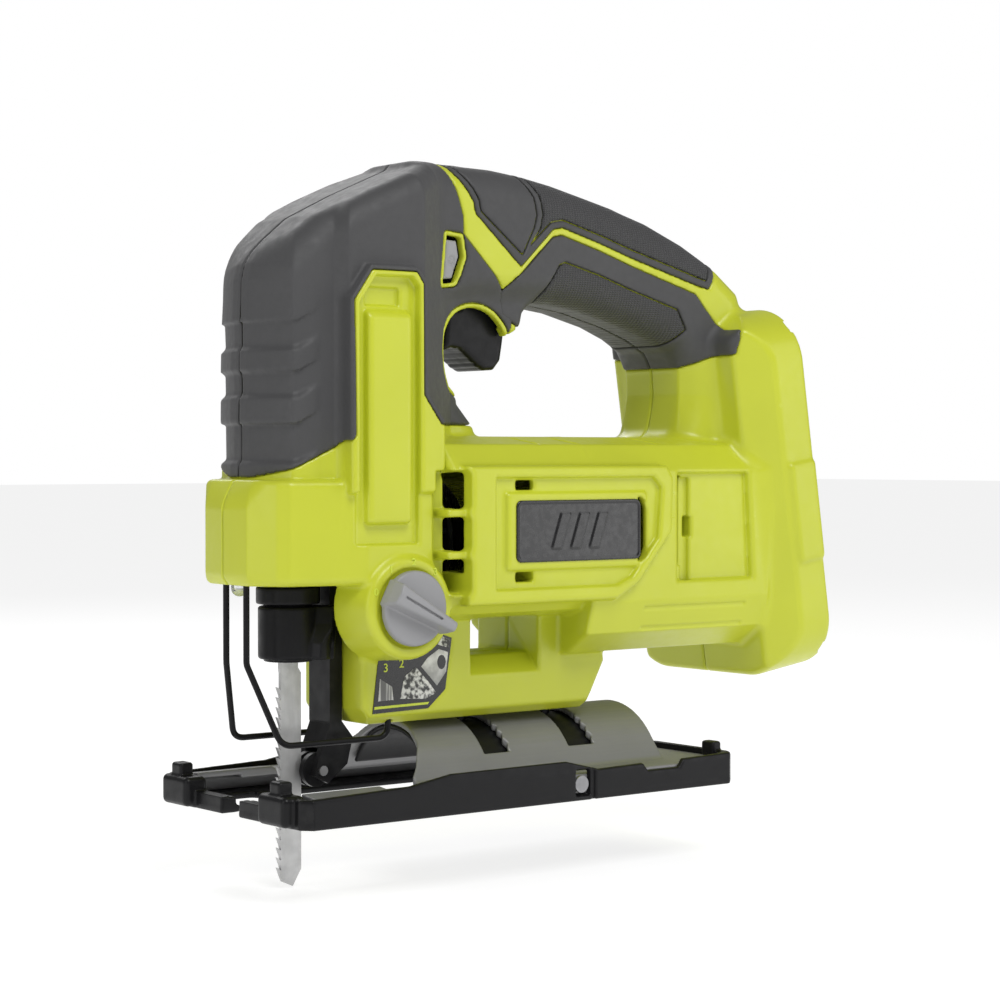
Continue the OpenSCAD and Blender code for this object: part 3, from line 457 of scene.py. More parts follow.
def body_fields(g):
    """The body's outer form and the parts of it that carry covers, for y below 0."""
    x, y, z = g.x, g.y, g.z
    ribs = steps(z - 0.55 * np.clip(x + 71, 0, 20), [
        (97, 0.75), (103.4, 0.8), (104.9, -0.6), (115.35, -0.5), (115.65, 0.9),
        (122.6, 0.85), (124.2, -0.5), (130.45, -0.4), (130.75, 0.85), (136.6, 0.75),
        (138.2, -0.5), (145.15, -0.3), (145.45, 0.55), (152, 0.25), (163, 0)])
    ribs = 1.15 * ribs * np.clip(1 - (x + 70) / 6, 0, 1)
    nose = both(outline(x, z, NOSE_SIDE), outline(x, y, NOSE_PLAN), 7.5)
    nose = nose - ribs
    handle_out = outline(x, z, HANDLE_SIDE)
    grip = np.where(x < 60, 17.0, 17.0 + np.clip(x - 60, 0, 60) * 0.10)
    handle = both(handle_out, -y - grip, 9.5)
    handle = either(handle, both(outline(x, z, GUARD_SIDE), -y - 12.6, 2.5), 3)
    bumper = both(outline(x, z, BUMPER_SIDE), outline(x, y, BUMPER_PLAN), 2.2)
    motor = both(outline(y, z, MOTOR_ENDS), np.abs(x - 3.5) - 27.5, 1.5)
    rear = both(outline(y, z, REAR_ENDS), np.abs(x - 68) - 38, 1.0)
    panel = both(outline(x, z, PANEL), -y - 36, 1.6)
    panel = cut(panel, both(outline(x, z, PANEL_IN), -(-y - 33.9), 0.6), 0.8)
    panel = either(panel, g.box(-5.6, 50.6, -35.2, -28, 71.2, 94.8, 1.0), 0.8)
    foot = both(outline(x, z, FOOT_SIDE), -y - 16, 1.5)
    lx = (x - FLANGE_AT[0]) * math.cos(FLANGE_TILT) + (z - FLANGE_AT[1]) * math.sin(FLANGE_TILT)
    lz = -(x - FLANGE_AT[0]) * math.sin(FLANGE_TILT) + (z - FLANGE_AT[1]) * math.cos(FLANGE_TILT)
    rim = round_box(0 * lx, y, lz, -1, 1, -38, 38, -60.5, 60.5, 0)
    corner = 18.0
    dy, dz = np.abs(y) - 38 + corner, np.abs(lz) - 60.5 + corner
    rim = np.sqrt(np.maximum(dy, 0) ** 2 + np.maximum(dz, 0) ** 2) + np.minimum(
        np.maximum(dy, dz), 0) - corner
    flange = both(rim, np.abs(lx + 12.5) - 12.5, 2.0)
    lean = (-y - 38) * 0.80 - (lx + 14) * 0.6
    flange = both(flange, lean, 1.0)
    lean_top = (lz - 60.5) * 0.80 - (lx + 15) * 0.6
    flange = both(flange, lean_top, 1.0)
    pad = round_box(lx, y, lz, -13, -0.5, -39.4, 0, -24, 10, 2.0)
    flange = either(flange, pad, 1.0)
    neck_plan = outline(x, y, [(84, 30), (84, -13), (92, -18), (101, -28), (112, -29),
                               (112, 30)])
    neck = both(neck_plan, np.abs(z - 122) - 26, 5)
    upper = either(nose, handle, 3)
    body = either(upper, bumper, 0.8)
    lower = either(either(motor, rear, 1.0), panel, 1.0)
    lower = either(lower, foot, 1.5)
    body = either(body, lower, 2.0)
    body = either(body, either(flange, neck, 5), 3.0)
    return dict(body=body, lx=lx, lz=lz)


def detail_cuts(g, f, body):
    """Everything cut into the body's outside."""
    x, y, z = g.x, g.y, g.z
    # lifted frame round the long rib on the nose
    ring = both(outline(x, z, SURROUND), -y - 29.6, 1.0)
    body = either(body, both(ring, -(z - 84), 6), 1.0)
    body = cut(body, both(outline(x, z, CHANNEL), y + 26.2, 0.5), 0.8)
    rib = g.box(-52.3, -36.4, -29.2, -20, 86, 148.8, 1.4)
    rib = both(rib, (z - 148.8) * 0.8 + (-y - 27.4) * 0.9, 0.8)
    body = either(body, rib, 0.7)
    body = cut(body, g.box(-51.6, -39.4, -40, -24.9, 150.2, 155.6, 0.5), 0.3)
    # trigger mouth and its lip
    mouth = np.sqrt((x - MOUTH[0]) ** 2 + (z - MOUTH[1]) ** 2) - MOUTH_R
    body = cut(body, mouth + 0 * y, 0.8)
    body = cut(body, g.box(-3.8, 19.8, -8.6, 2, 140, 172), 0.3)
    body = cut(body, g.box(-9.8, 19.8, -8.6, 2, 140, 157.8), 0.3)
    # lock-off window
    window = outline(x, z, LOCK_WINDOW)
    body = cut(body, both(window, -y - 60), 0.4)
    # vents beside the fan, with two ribs left between them
    for z0, z1 in ((65, 75), (77.6, 87.6), (90.2, 101)):
        body = cut(body, g.box(-23.8, -19.2, -60, -18, z0, z1, 1.0), 0.8)
    slope = (x + 24.5) * 0.6 - (-y - 27) * 0.8
    body = cut(body, both(both(slope, np.abs(z - 83) - 18.5, 0), np.abs(x + 24) - 4, 0), 0.6)
    for z0 in (75.1, 87.7):
        body = either(body, g.box(-26.5, -17.5, -33.4, -22, z0, z0 + 2.4, 0.9), 0.5)
    # slots over and under the badge, and the channel round its rear end
    for z0 in (67.6, 95.6):
        body = cut(body, g.box(-1.5, 5.5, -60, -24, z0, z0 + 3, 0.5), 0.5)
    groove = round_box(x, y * 0, z, 30, 53.8, -1, 1, 70.2, 95.8, 7.5)
    line = both(np.abs(groove) - 0.75, -(x - 47), 0)
    body = cut(body, both(line, y + 31, 0), 0.3)
    # sunk field behind the badge panel with its slot
    sunk = both(outline(x, z, [(66, 66), (99, 66), (97, 100.5), (66, 100.5)]), y + 30.6, 0)
    body = cut(body, sunk, 1.5)
    body = cut(body, g.box(71.2, 73.4, -60, -16, 79.8, 86.6), 0.3)
    step = g.box(69, 72.4, -31.6, -26, 64, 99)
    body = cut(body, both(step, y + 29, 0), 0.3)
    # foot's window and the sloping top of the beam under it
    body = cut(body, g.box(-4.8, 21.8, -30, 2, 44, 55.6, 0.8), 0.8)
    beam = (z - 38) * 0.8 - (y + 16) * 0.85
    body = cut(body, both(both(-beam, np.abs(x - 8.5) - 13.3, 0), np.abs(z - 47) - 9, 0), 0.5)
    relief = 11.9
    under = (z + y - relief) * 0.7071
    body = cut(body, both(both(under, z - 40, 0), np.abs(x) - 60, 0), 0.3)
    # top of the motor housing: slanted notches and a long step
    for at in (12, 28, 62):
        notch = np.abs((x - at) * 0.8 + (y + 22) * 0.6) - 0.5
        body = cut(body, both(both(notch, np.abs(y + 22) - 3.4, 0), 109.5 - z, 0), 0.3)
    # long steps on the lower rear of the motor housing
    for zz, deep in ((57.5, -31.7), (51, -29.8)):
        line = both(np.abs(z - zz) - 0.5, np.abs(x - 74) - 22, 0)
        body = cut(body, both(line, y - deep, 0), 0.4)
    # battery socket and the shallow seat round it
    lx, lz = f["lx"], f["lz"]
    body = cut(body, round_box(lx, y, lz, -48, 6, -16.5, 16.5, -20, 20, 0.5), 0.4)
    body = cut(body, round_box(lx, y, lz, -2, 6, -34.5, 34.5, -56, 56, 0.5), 0.4)
    for rail in (-13, -5, 5, 13):
        body = either(body, round_box(lx, y, lz, -46, -3, -18.5, -15.5, rail - 1, rail + 1,
                                      0.3), 0.2)
    return body


def hollows(g, f):
    """The space inside the shells, and the openings from it."""
    x, y, z = g.x, g.y, g.z
    room = g.box(-77, 69, -40, 4, 70.8, 192)
    room = np.minimum(room, g.box(60, 88, -40, 4, 142, 192))
    inside = both(f["body"] + WALL, room)
    inside = np.minimum(inside, np.maximum(
        np.sqrt((x - PLUNGER_X + 0.8) ** 2 + y ** 2) - 11, np.abs(z - 68) - 8))
    inside = np.minimum(inside, g.box(-53, -45.3, -6.4, 4, 60, 78))
    inside = np.minimum(inside, g.box(-82, -74.5, -6.8, 4, 71.5, 78))
    inside = np.minimum(inside, g.box(-46, -29, -6.4, 4, 53, 69))
    # bores for the wire guard's ends, the work light and the bevel screws
    for px, py, radius, z0, z1 in ((-79.7, -5.6, 1.0, 60, 78.5), (-34.5, -13.3, 1.0, 20, 31),
                                   (-78.5, 0, 2.6, 59, 73), (2, 0, 2.5, 20, 36),
                                   (36, 0, 2.5, 20, 36)):
        bore = np.maximum(np.sqrt((x - px) ** 2 + (y - py) ** 2) - radius,
                          np.abs(z - (z0 + z1) / 2) - (z1 - z0) / 2)
        inside = np.minimum(inside, bore)
    return inside


def mirrored(obj, name):
    """The same shape on the other side of the middle plane."""
    mesh = obj.data.copy()
    mesh.transform(Matrix.Scale(-1, 4, (0, 1, 0)))
    mesh.flip_normals()
    mesh.name = name
    twin = bpy.data.objects.new(name, mesh)
    bpy.context.collection.objects.link(twin)
    return twin


def finish_piece(obj, look, body, slot, *replaced):
    """Gives a piece its look and its body, and hides the CAD nodes that it stands for. The slot
    argument is not used.
    """
    obj.data.materials.clear()
    obj.data.materials.append(look)
    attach(obj, body)
    if replaced:
        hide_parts(*replaced)
    return obj


def make_body():
    """The two shell halves and everything moulded over them."""
    g = Grid((-88, -42, 22), (132, 1.2, 198))
    x, y, z = g.x, g.y, g.z
    f = body_fields(g)
    outer = detail_cuts(g, f, f["body"])
    inside = hollows(g, f)
    window = outline(x, z, LOCK_WINDOW)
    lip = np.sqrt((x - MOUTH[0]) ** 2 + (z - MOUTH[1]) ** 2) - LIP_R
    cover_zone = np.maximum(outline(x, z, COVER_ZONE), -(window - 1.3))
    cover_zone = np.maximum(cover_zone, -lip)
    lower_zone = np.maximum(outline(x, z, LOWER_ZONE), -lip)
    top_zone = outline(x, z, TOP_ZONE)
    zones = np.minimum(np.minimum(cover_zone, lower_zone), top_zone)
    shell = np.maximum(outer, -inside)
    seam = y + PARTING
    # the shell under the covers is sunk by the covers' thickness
    under = np.maximum(zones - PARTING, -(outer + SKIN))
    lime_field = np.maximum(np.maximum(shell, -under), seam)
    boss = np.sqrt((x - DIAL[0]) ** 2 + (z - DIAL[1]) ** 2)
    boss_outer = both(boss - BOSS_R - np.clip((y + 30.5) * 0.10, 0, 4), -y - 30.3, 1.8)
    boss_outer = np.maximum(boss_outer, y + 14)
    left_outer = either(outer, boss_outer, 1.5)
    dial_seat = np.maximum(boss - 11.9, y + 29.6)
    left_outer = cut(left_outer, dial_seat, 0.3)
    label = np.maximum(outline(x, z, LABEL), -y - 60)
    left_outer = cut(left_outer, np.maximum(label, y - (LABEL_Y + 0.2)), 0.1)
    left_field = np.maximum(np.maximum(left_outer, -inside), -under)
    left_field = np.maximum(left_field, -(np.maximum(boss - 4.1, y + 4)))
    left_field = np.maximum(left_field, seam)
    left = g.mesh(left_field, "shell_left")
    half = g.mesh(lime_field, "shell_right_source")
    right = mirrored(half, "shell_right")
    bpy.data.objects.remove(half)
    finish_piece(left, lime, "housing", "lime_plastic", "housing_left")
    finish_piece(right, lime, "housing", "lime_plastic", "housing_right")

    def cover(name, zone, look, nodes, proud=0.25, depth=1.25):
        skin_field = np.maximum(outer - proud, -(outer + depth))
        skin_field = both(skin_field, zone + PARTING, 0.35)
        skin_field = np.maximum(skin_field, seam)
        piece = g.mesh(skin_field, name + "_left")
        twin = mirrored(piece, name + "_right")
        finish_piece(piece, look, "housing", "gray_rubber", *[n + "_left" for n in nodes])
        finish_piece(twin, look, "housing", "gray_rubber", *[n + "_right" for n in nodes])

    weave_low = outline(x, z, LOWER_WEAVE)
    weave_top = outline(x, z, TOP_WEAVE)
    patch = outline(x, z, TOP_PATCH)
    cover("nose_overmould", cover_zone, gray_rubber, ["nose_cover"])
    cover("lower_grip_frame", np.maximum(lower_zone, -weave_low), gray_rubber, ["lower_grip"],
          0.45)
    cover("lower_grip_weave", np.maximum(lower_zone + 0.4, weave_low + 0.2), gray_weave, [],
          0.25)
    rest = np.maximum(top_zone, -np.minimum(weave_top, patch))
    cover("top_grip_frame", rest, gray_rubber, ["top_grip"], 0.3)
    cover("top_grip_weave", np.maximum(top_zone + 0.4, weave_top + 0.2), gray_weave, [], 0.25)
    cover("top_grip_patch", np.maximum(top_zone + 0.4, patch + 0.2), gray_rubber, [], 0.25)


make_body()


# ---------- controls ----------
def make_trigger():
    g = Grid((-12, -9.5, 130), (18, 9.5, 166), 0.45)
    side = outline(g.x, g.z, [(-9.2, 138.4), (-5.8, 139.6), (-2.3, 139), (0.8, 136.5),
                              (3.9, 134), (6.7, 132.7), (10.7, 133), (13.3, 136), (14.2, 141),
                              (15.2, 148), (15.2, 163), (-2.6, 163), (-3.2, 152), (-8, 151)])
    field = both(side, np.abs(g.y) - 7.9, 1.6)
    for ridge in range(5):
        at_x, at_z = -3.4 + 2.1 * ridge, 139.2 - 1.5 * ridge
        groove = np.sqrt((g.x - at_x) ** 2 + (g.z - at_z) ** 2) - 0.45
        field = cut(field, groove + 0 * g.y, 0.2)
    finish_piece(g.mesh(field, "trigger_blade"), black_nylon, "trigger", "trigger_plastic",
                 "trigger")


def make_lock_button():
    g = Grid((-18, -18.4, 157), (-7, 20.2, 175), 0.4)
    side = outline(g.x, g.z, [(-15.9, 159.8), (-12.1, 160.1), (-9.5, 167), (-10.4, 172),
                              (-14.7, 172.2)])
    field = both(side + 0.15, np.abs(g.y - 1.0) - 17.2, 0.8)
    # a small padlock-like mark: a ring and a post, pressed in
    ring = np.abs(np.sqrt((g.x + 12.6) ** 2 + (g.z - 165.6) ** 2) - 1.15) - 0.28
    post = both(np.abs(g.x + 11.5) - 0.28, np.abs(g.z - 164) - 1.5, 0)
    field = cut(field, np.maximum(np.minimum(ring, post), np.abs(g.y + 16.2) - 0.5), 0.1)
    finish_piece(g.mesh(field, "lock_off_pad"), button_gray, "lock_button",
                 "light_gray_plastic", "lock_off_button")


def make_dial():
    g = Grid((-54, -39.6, 45), (-22, -29.8, 77), 0.32)
    turn = math.radians(28)
    u = (g.x - DIAL[0]) * math.cos(turn) - (g.z - DIAL[1]) * math.sin(turn)
    v = (g.x - DIAL[0]) * math.sin(turn) + (g.z - DIAL[1]) * math.cos(turn)
    top = -g.y
    disc = both(np.sqrt(u ** 2 + v ** 2) - 11.2, top - 33.2, 1.0)
    width = 4.0 - 0.075 * (u + 11.5) - (top - 33) * 0.14
    bar = both(np.abs(v) - width, np.abs(u - 0.9) - 12.2 + np.clip(top - 34, 0, 6) * 0.18, 0.7)
    bar = both(bar, top - 38.6 + np.abs(v) * 0.22, 0.6)
    field = either(disc, bar, 0.5)
    flute = np.abs(v) - 0.34
    flute = both(both(flute, np.abs(u + 1) - 7.5, 0), -(top - 37.6), 0)
    field = cut(field, flute + 0 * g.x, 0.2)
    field = np.maximum(field, -(top - 30.8))
    finish_piece(g.mesh(field, "orbit_dial"), button_gray, "orbital_dial",
                 "light_gray_plastic", "dial_knob")


def as_mesh(obj):
    """Takes the place of a curve or text object with a mesh of the same name."""
    name = obj.name
    bpy.context.view_layer.update()
    mesh = bpy.data.meshes.new_from_object(obj.evaluated_get(
        bpy.context.evaluated_depsgraph_get()))
    mesh.transform(obj.matrix_world)
    bpy.data.objects.remove(obj)
    solid = bpy.data.objects.new(name, mesh)
    bpy.context.collection.objects.link(solid)
    return solid


def words(name, text, size, spot, look, body, slot, depth=0.00018):
    """A raised number that faces -Y, with its middle at spot (mm)."""
    data = bpy.data.curves.new(name, "FONT")
    data.body = text
    data.size = size * MM
    data.extrude = depth
    data.bevel_depth = depth * 0.35
    data.align_x = data.align_y = "CENTER"
    obj = bpy.data.objects.new(name, data)
    bpy.context.collection.objects.link(obj)
    obj.rotation_euler = (math.radians(90), 0, 0)
    obj.location = [c * MM for c in spot]
    return finish_piece(as_mesh(obj), look, body, slot)


def extruded(name, points, y0, y1, look, body, slot, *replaced):
    """A flat plate drawn in the side view, between y0 and y1."""
    mesh = bpy.data.meshes.new(name)
    b = bmesh.new()
    lower = [b.verts.new((x * MM, y0 * MM, z * MM)) for x, z in points]
    upper = [b.verts.new((x * MM, y1 * MM, z * MM)) for x, z in points]
    b.faces.new(lower)
    b.faces.new(list(reversed(upper)))
    n = len(points)
    for i in range(n):
        j = (i + 1) % n
        b.faces.new((lower[j], lower[i], upper[i], upper[j]))
    bmesh.ops.recalc_face_normals(b, faces=b.faces)
    b.to_mesh(mesh)
    b.free()
    obj = bpy.data.objects.new(name, mesh)
    bpy.context.collection.objects.link(obj)
    return finish_piece(obj, look, body, slot, *replaced)


def make_dial_marks():
    """0 to 3 round the boss."""
    for k, angle in enumerate((158, 122, 86, 50)):
        a = math.radians(angle)
        words(f"dial_number_{k}", str(k), 3.0,
              (DIAL[0] + 13.6 * math.cos(a), -30.25, DIAL[1] + 13.6 * math.sin(a)),
              lime_print, "housing", "lime_plastic")


def make_label():
    """Dark plate with four plain material patches, a rule and two numbers."""
    y = LABEL_Y
    plate = [(-42, 28.7), (-21.4, 29.2), (-14.9, 34.6), (-12.4, 50.2), (-16, 51.4),
             (-22.6, 49), (-30, 45.4), (-39.9, 44.7)]
    extruded("label_film", plate, y - 0.05, y + 0.25, black_gloss, "housing", "badge_black",
             "setting_label")
    patches = {"label_patch_a": [(-40, 32.4), (-34.4, 32.5), (-34.9, 36.5), (-39.3, 39.1)],
               "label_patch_b": [(-31.8, 32.7), (-22.5, 32.1), (-18.4, 33.7), (-21, 36.9),
                                 (-26.1, 42), (-30.4, 39.2)],
               "label_patch_c": [(-18.1, 35.9), (-14.6, 40), (-13.9, 45.9), (-17.4, 47),
                                 (-21.7, 44.5), (-24, 42)],
               "label_patch_d": [(-17.8, 48.4), (-13.6, 47.2), (-13, 49.8), (-16, 50.8)]}
    looks = (patch_bar, patch_chips, patch_plain, patch_chips)
    for (name, points), look in zip(patches.items(), looks):
        extruded(name, points, y - 0.12, y, look, "housing", "badge_black")
    ring = [(-16.4 + 1.6 * math.cos(a), 43 + 2.2 * math.sin(a))
            for a in (k * math.pi / 10 for k in range(20))]
    extruded("label_knot", ring, y - 0.16, y - 0.1, black_gloss, "housing", "badge_black")
    extruded("label_rule", [(-41.4, 30), (-21.6, 30.4), (-21, 31.1), (-41.3, 30.8)], y - 0.12,
             y, lime_print, "housing", "badge_black")
    words("label_number_3", "3", 3.6, (-37.2, y - 0.1, 42.2), lime_print, "housing",
          "badge_black", depth=0.00008)
    words("label_number_2", "2", 3.6, (-31.4, y - 0.1, 43.2), lime_print, "housing",
          "badge_black", depth=0.00008)


# ---------- wire guard ----------
def filleted(points, radius, per_bend=7):
    """A path through the points with each corner turned on an arc."""
    p = [Vector(q) for q in points]
    out = [p[0]]
    for a, b, c in zip(p, p[1:], p[2:]):
        into, away = (b - a).normalized(), (c - b).normalized()
        bend = into.angle(away)
        back = min(radius * math.tan(bend / 2), (b - a).length * 0.45, (c - b).length * 0.45)
        start, stop = b - into * back, b + away * back
        for i in range(per_bend + 1):
            t = i / per_bend
            out.append((start * (1 - t) ** 2) + (b * 2 * t * (1 - t)) + (stop * t ** 2))
    out.append(p[-1])
    return out


def tube(name, points, radius, look, body, slot, *replaced):
    """A round wire of a radius along points (mm)."""
    data = bpy.data.curves.new(name, "CURVE")
    data.dimensions = "3D"
    data.bevel_depth = radius * MM
    data.bevel_resolution = 5
    data.use_fill_caps = True
    spline = data.splines.new("POLY")
    spline.points.add(len(points) - 1)
    for spot, q in zip(spline.points, points):
        spot.co = (q[0] * MM, q[1] * MM, q[2] * MM, 1)
    obj = bpy.data.objects.new(name, data)
    bpy.context.collection.objects.link(obj)
    solid = as_mesh(obj)
    smooth_by_angle(solid.data, 40)
    return finish_piece(solid, look, body, slot, *replaced)


def make_wire_guard():
    path = []
    for s in (1, -1):
        leg = [(-79.7, s * 5.6, 76), (-79.7, s * 5.6, 44.8), (-72.5, s * 13.3, 21),
               (-34.5, s * 13.3, 21), (-34.5, s * 13.3, 30)]
        path = path + (leg[::-1] if s > 0 else leg)
    tube("guard_wire", filleted(path, 5), 0.95, black_oxide, "housing", "black_metal",
         "wire_guard")


# ---------- clamp ----------
def make_clamp():
    g = Grid((-78, -16, 43), (-45, 16, 69), 0.36)
    x, y, z = g.x - PLUNGER_X, g.y, g.z
    r = np.sqrt(x ** 2 + y ** 2)
    core = both(r - 7.35, np.abs(z - 55.8) - 11.2, 0.5)
    collar = both(r - 9.6, np.abs(z - 64.4) - 2.6, 0.6)
    body = either(core, collar, 0.3)
    # slot for the blade, and the bore for the plunger's end
    blade_slot = np.maximum(np.abs(x) - 5.3, np.abs(y) - 0.75)
    body = np.maximum(body, -np.maximum(blade_slot, z - 58.6))
    body = np.maximum(body, -np.maximum(r - 4.5, 60 - z))
    finish_piece(g.mesh(body, "clamp_barrel"), black_oxide, "plunger", "black_metal",
                 "clamp_body")
    sleeve_ends = np.abs(z - 53.3) - 7.9
    sleeve = both(r - 9.0, sleeve_ends, 0.9)
    # finger tab that leans round the sleeve as it rises
    lean = np.radians(steps(z, [(45, -60), (50, -58), (56, -42), (62, -34)]))
    along = x * np.cos(lean) + y * np.sin(lean)
    across = -x * np.sin(lean) + y * np.cos(lean)
    tab = both(both(np.abs(across) - 2.6, np.abs(along - 10.4) - 2.9, 0.8), sleeve_ends, 0.7)
    rims = both(np.abs(np.abs(across) - 2.3) - 0.55, np.abs(along - 11.2) - 3.0, 0.4)
    rims = both(rims, sleeve_ends, 0.7)
    sleeve = either(sleeve, either(tab, rims, 0.3), 0.8)
    # at the bottom of the stroke the tab passes inside the guard's wires
    sleeve = np.maximum(np.maximum(sleeve, -(r - 7.45)), np.abs(y) - 11.9)
    finish_piece(g.mesh(sleeve, "clamp_sleeve"), black_oxide, "clamp_lever", "black_metal",
                 "clamp_lever")


# ---------- shoe ----------
def make_shoe_frame():
    g = Grid((-87.4, -41, -0.9), (87.4, 41, 14), FINE)
    x, y, z = g.x, g.y, g.z
    half = np.abs(y)
    plan = outline(x, y, [(-79, -40), (82, -40), (86, -36), (86, 36), (82, 40), (-79, 40),
                          (-82, 37), (-82, -37)])
    top = steps(x, [(-84, 8.6), (-45, 9.8), (-30, 12.2), (14, 12.4), (27, 9.2), (45, 9.6),
                    (47, 7.2), (60, 7.2), (62, 9.7), (83, 10.2), (86, 9.6)])
    wall_in = np.where(np.abs(x) > 79, 3.4, 1.75)
    wall = both(plan, z - top, 0.9)
    wall = both(wall, -(plan + wall_in), 0)
    wall = both(wall, -z + 0.05, 0.5)
    # the near face leans in a little above a step
    wall = np.maximum(wall, (half - 40) * 0.98 + (z - 8.5) * 0.10)
    front = (x < -77.5) & (half < 21)
    wall = np.where(front, np.maximum(wall, z - 5), wall)
    floor_part = both(plan + 0.3, np.abs(z - 1.05) - 1.0, 0.5)
    opening = round_box(x, y, 0 * z, -60, 68, -26, 26, -1, 1, 4)
    opening = np.minimum(opening, round_box(x, y, 0 * z, -76.2, -56, -28, 28, -1, 1, 3))
    floor_part = np.maximum(floor_part, -opening)
    shoe = either(wall, floor_part, 0.6)
    # bumpers at the two front corners, with lugs on top, and a lip between them
    horn = round_box(x, half, z, -85.4, -77.6, 19.6, 34.4, 0.4, 9.4, 1.8)
    lug = round_box(x, half, z, -84.2, -79.6, 24.6, 30.4, 7, 13.2, 0.9)
    lip = round_box(x, half, z, -80.4, -76.4, 4.6, 22, 0.1, 4.9, 1.4)
    rear_bar = round_box(x, half, z, 83.6, 86, 0, 36, 0.1, 9.8, 0.9)
    rear_lug = round_box(x, half, z, 81.6, 85.4, 26.6, 32.4, 8, 12.9, 0.8)
    for part in (horn, lip, rear_bar):
        shoe = either(shoe, part, 0.8)
    for part in (lug, rear_lug):
        shoe = either(shoe, part, 0.5)
    shoe = cut(shoe, round_box(x, y, z, -88, -56, -4.8, 4.8, -3, 22, 0.6), 0.4)
    # screw pocket through each rail
    pocket = round_box(x, half, z, 17.4, 23.2, 38.4, 44, 1.4, 9.6, 0.8)
    shoe = cut(shoe, pocket, 0.3)
    shoe = cut(shoe, both(np.abs(x - 24.6) - 0.6, -(half - 39.2), 0) + 0 * z, 0.2)
    shoe = np.maximum(shoe, -z)
    finish_piece(g.mesh(shoe, "shoe_frame"), black_nylon, "shoe", "black_plastic", "shoe_cover")


def make_shoe_plate():
    """Pressed steel plate with its crown, and a black sheet under it that paints the shade under
    the crown.
    """
    g = Grid((-78, -39.4, 1.0), (85, 39.4, 26), FINE)
    x, y, z = g.x, g.y, g.z
    half = np.abs(y)
    crown = math.radians(50)
    radius = 24.0
    # middle surface of the sheet, as (half, z) from the crown to the edge
    arc = [(radius * math.sin(a), radius * math.cos(a)) for a in np.linspace(0, crown, 12)]
    foot = 7.2
    out = (radius - foot * math.cos(crown)) / math.sin(crown)
    profile = arc + [(out - 0.9, foot + 0.9), (out + 0.6, foot), (37.6, foot)]
    best = np.full(np.broadcast(half, z).shape, 1e9)
    for (a0, a1), (b0, b1) in zip(profile, profile[1:]):
        e0, e1 = b0 - a0, b1 - a1
        t = np.clip(((half - a0) * e0 + (z - a1) * e1) / (e0 * e0 + e1 * e1), 0, 1)
        best = np.minimum(best, np.hypot(half - a0 - t * e0, z - a1 - t * e1))
    domed = both(best - SHEET, np.abs(x - 3) - 63, 0.3)
    rise = np.clip(38 - half, 0, 13) * 0.12 * np.clip((-47 - x) / 2, 0, 1)
    flat_plan = outline(x, half, [(-76, -1), (83.6, -1), (83.6, 38.2), (-76, 38.2)])
    flat = both(np.abs(z - foot - rise) - SHEET, flat_plan, 0.3)
    hole = outline(x, half, [(-58, -1), (66, -1), (66, 26), (-58, 26)])
    flat = np.maximum(flat, -hole)
    edge = both(np.abs(half - 37.4) - 0.8, np.abs(z - 4.6) - 2.6, 0.2)
    edge = np.maximum(edge, np.abs(x - 4) - 78)
    sheet = np.minimum(np.minimum(domed, flat + 0 * x), edge)
    # opening round the blade, with a step in each long edge
    gap_plan = outline(x, half, [(-90, -1), (-24, -1), (-24, 9.5), (-25.5, 16), (-30, 21.5),
                                 (-33, 24), (-33, 28.9), (-90, 28.9)])
    sheet = cut(sheet, np.maximum(gap_plan, -z), 0.4)
    front_slot = np.maximum(half - 5, x + 50)
    sheet = np.maximum(sheet, -np.maximum(front_slot, -z))
    for x0, x1 in ((-3, 7), (30.5, 41)):
        teeth = 0.55 * (np.abs(((half + 1.4) / 2.8) % 1 - 0.5) * 4 - 1)
        rear = np.where(half > 9, x - x1 - teeth, x - x1)
        slot_hole = np.maximum(np.maximum(x0 - x, rear), half - 20.2)
        sheet = np.maximum(sheet, -np.maximum(slot_hole, 12 - z))
    finish_piece(g.mesh(sheet, "shoe_plate"), shoe_steel, "shoe", "shoe_steel", "base_plate")
    # black sheet under the crown: painted shade that shows in its slots and under the crown
    around = np.hypot(half, z)
    crown_shade = both(np.abs(around - 22.1) - 0.75, np.abs(x - 19.7) - 43.3, 0.3)
    crown_shade = np.maximum(crown_shade, 9.4 - z)
    finish_piece(g.mesh(crown_shade, "shoe_crown_shade_sheet"), black_nylon, "shoe", "black_plastic")


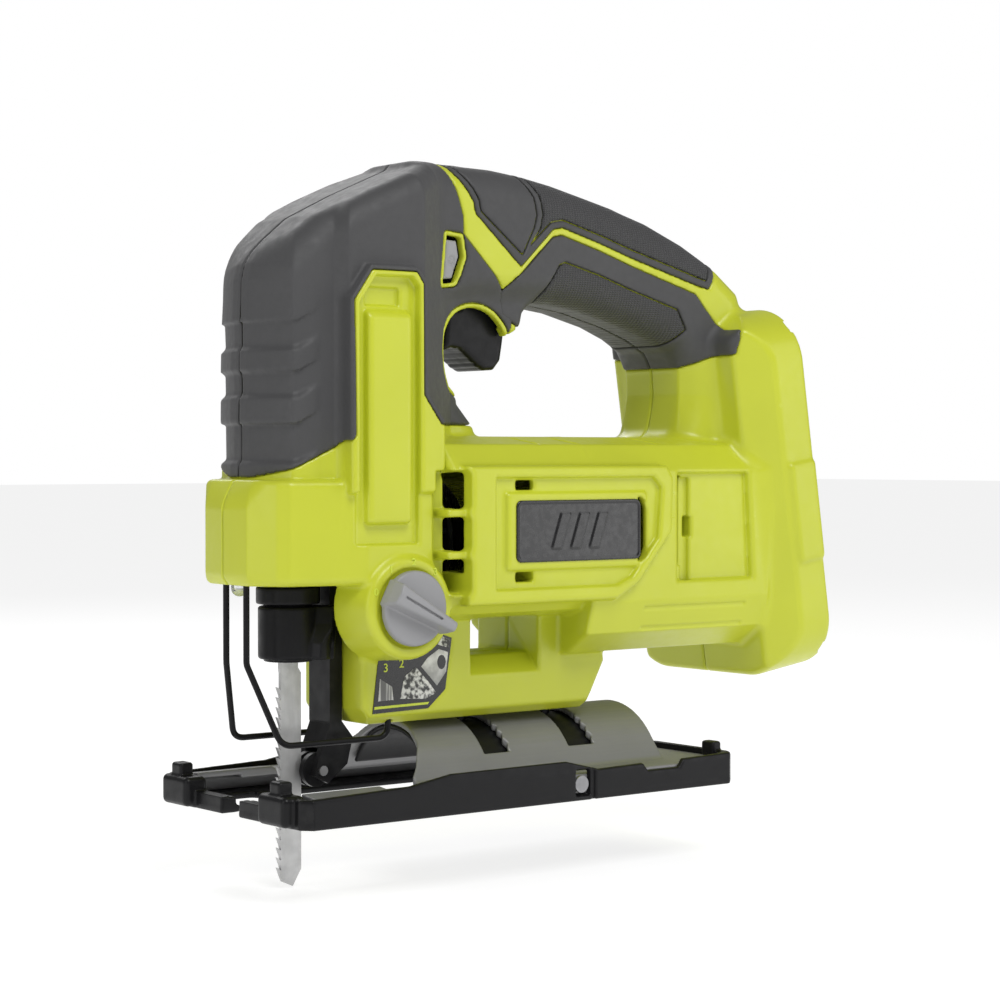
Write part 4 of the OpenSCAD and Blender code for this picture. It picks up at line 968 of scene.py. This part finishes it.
def make_badges():
    """A plain dark badge with a raised rim and three slanted bars, on each side."""
    for s, tag in ((-1, "left"), (1, "right")):
        g = Grid((-4, -37, 72), (49, -34.4, 94), 0.3)
        plate = both(round_box(g.x, 0 * g.y, g.z, -2.9, 47.9, -1, 1, 73.1, 92.9, 2.4),
                     np.maximum(-g.y - 35.8, g.y - BADGE_Y), 0.3)
        rim = round_box(g.x, 0 * g.y, g.z, -1.9, 46.9, -1, 1, 74.1, 91.9, 2.0)
        plate = cut(plate, np.maximum(rim, g.y + 35.62), 0.1)
        for k in range(3):
            bar = both(np.abs(g.x - 15 - 7.5 * k - (g.z - 83) * 0.35) - 1.9,
                       np.abs(g.z - 83) - 5.4, 0.4)
            plate = either(plate, both(bar, -g.y - 35.85, 0.1) + 0 * g.y, 0.05)
        plate = np.maximum(plate, g.y - BADGE_Y)
        piece = g.mesh(plate, "badge_" + tag)
        if s > 0:
            source, piece = piece, mirrored(piece, "badge_right_plate")
            bpy.data.objects.remove(source)
        finish_piece(piece, black_gloss, "housing", "badge_black", "badge_plate_" + tag)


make_trigger()
make_lock_button()
make_dial()
make_dial_marks()
make_label()
make_wire_guard()
make_clamp()
make_shoe_frame()
make_shoe_plate()
make_badges()

# ---------- the rest keeps its CAD form, with rounded moulded edges ----------
for name in ("bevel_saddle", "bevel_screws", "orbit_lever", "backing_roller"):
    for place in NODES[name].material_slots:
        place.material = black_oxide
EDGES = {"orbit_lever": 0.35, "bevel_saddle": 0.2, "terminal_block": 0.5, "plunger_seal": 0.4,
         "backing_roller": 0.2, "motor_end_cap": 0.3, "switch_module": 0.5,
         "bevel_screws": 0.3, "cover_screws": 0.3, "blade": 0.08, "plunger_yoke": 0.3}
for node_name, width in EDGES.items():
    round_edges(NODES[node_name], width * MM)
    smooth_by_angle(NODES[node_name].data, 35)

# ---------- stage ----------
floor_mesh = bpy.data.meshes.new("floor")
floor_mesh.from_pydata([(-9, -9, 0), (9, -9, 0), (9, 9, 0), (-9, 9, 0)], [], [(0, 1, 2, 3)])
floor = bpy.data.objects.new("floor", floor_mesh)
floor.location.z = CAD_BOX[0][2] - 0.0005
bpy.context.collection.objects.link(floor)
pale = surface("pale_floor", (0.34, 0.34, 0.34), 0.8, grain=60, grain_depth=0.00001, mottle=0.0)
pale.bsdf.inputs["Emission Color"].default_value = (1, 1, 1, 1)
pale.bsdf.inputs["Emission Strength"].default_value = 0.80
floor.data.materials.append(pale.material)
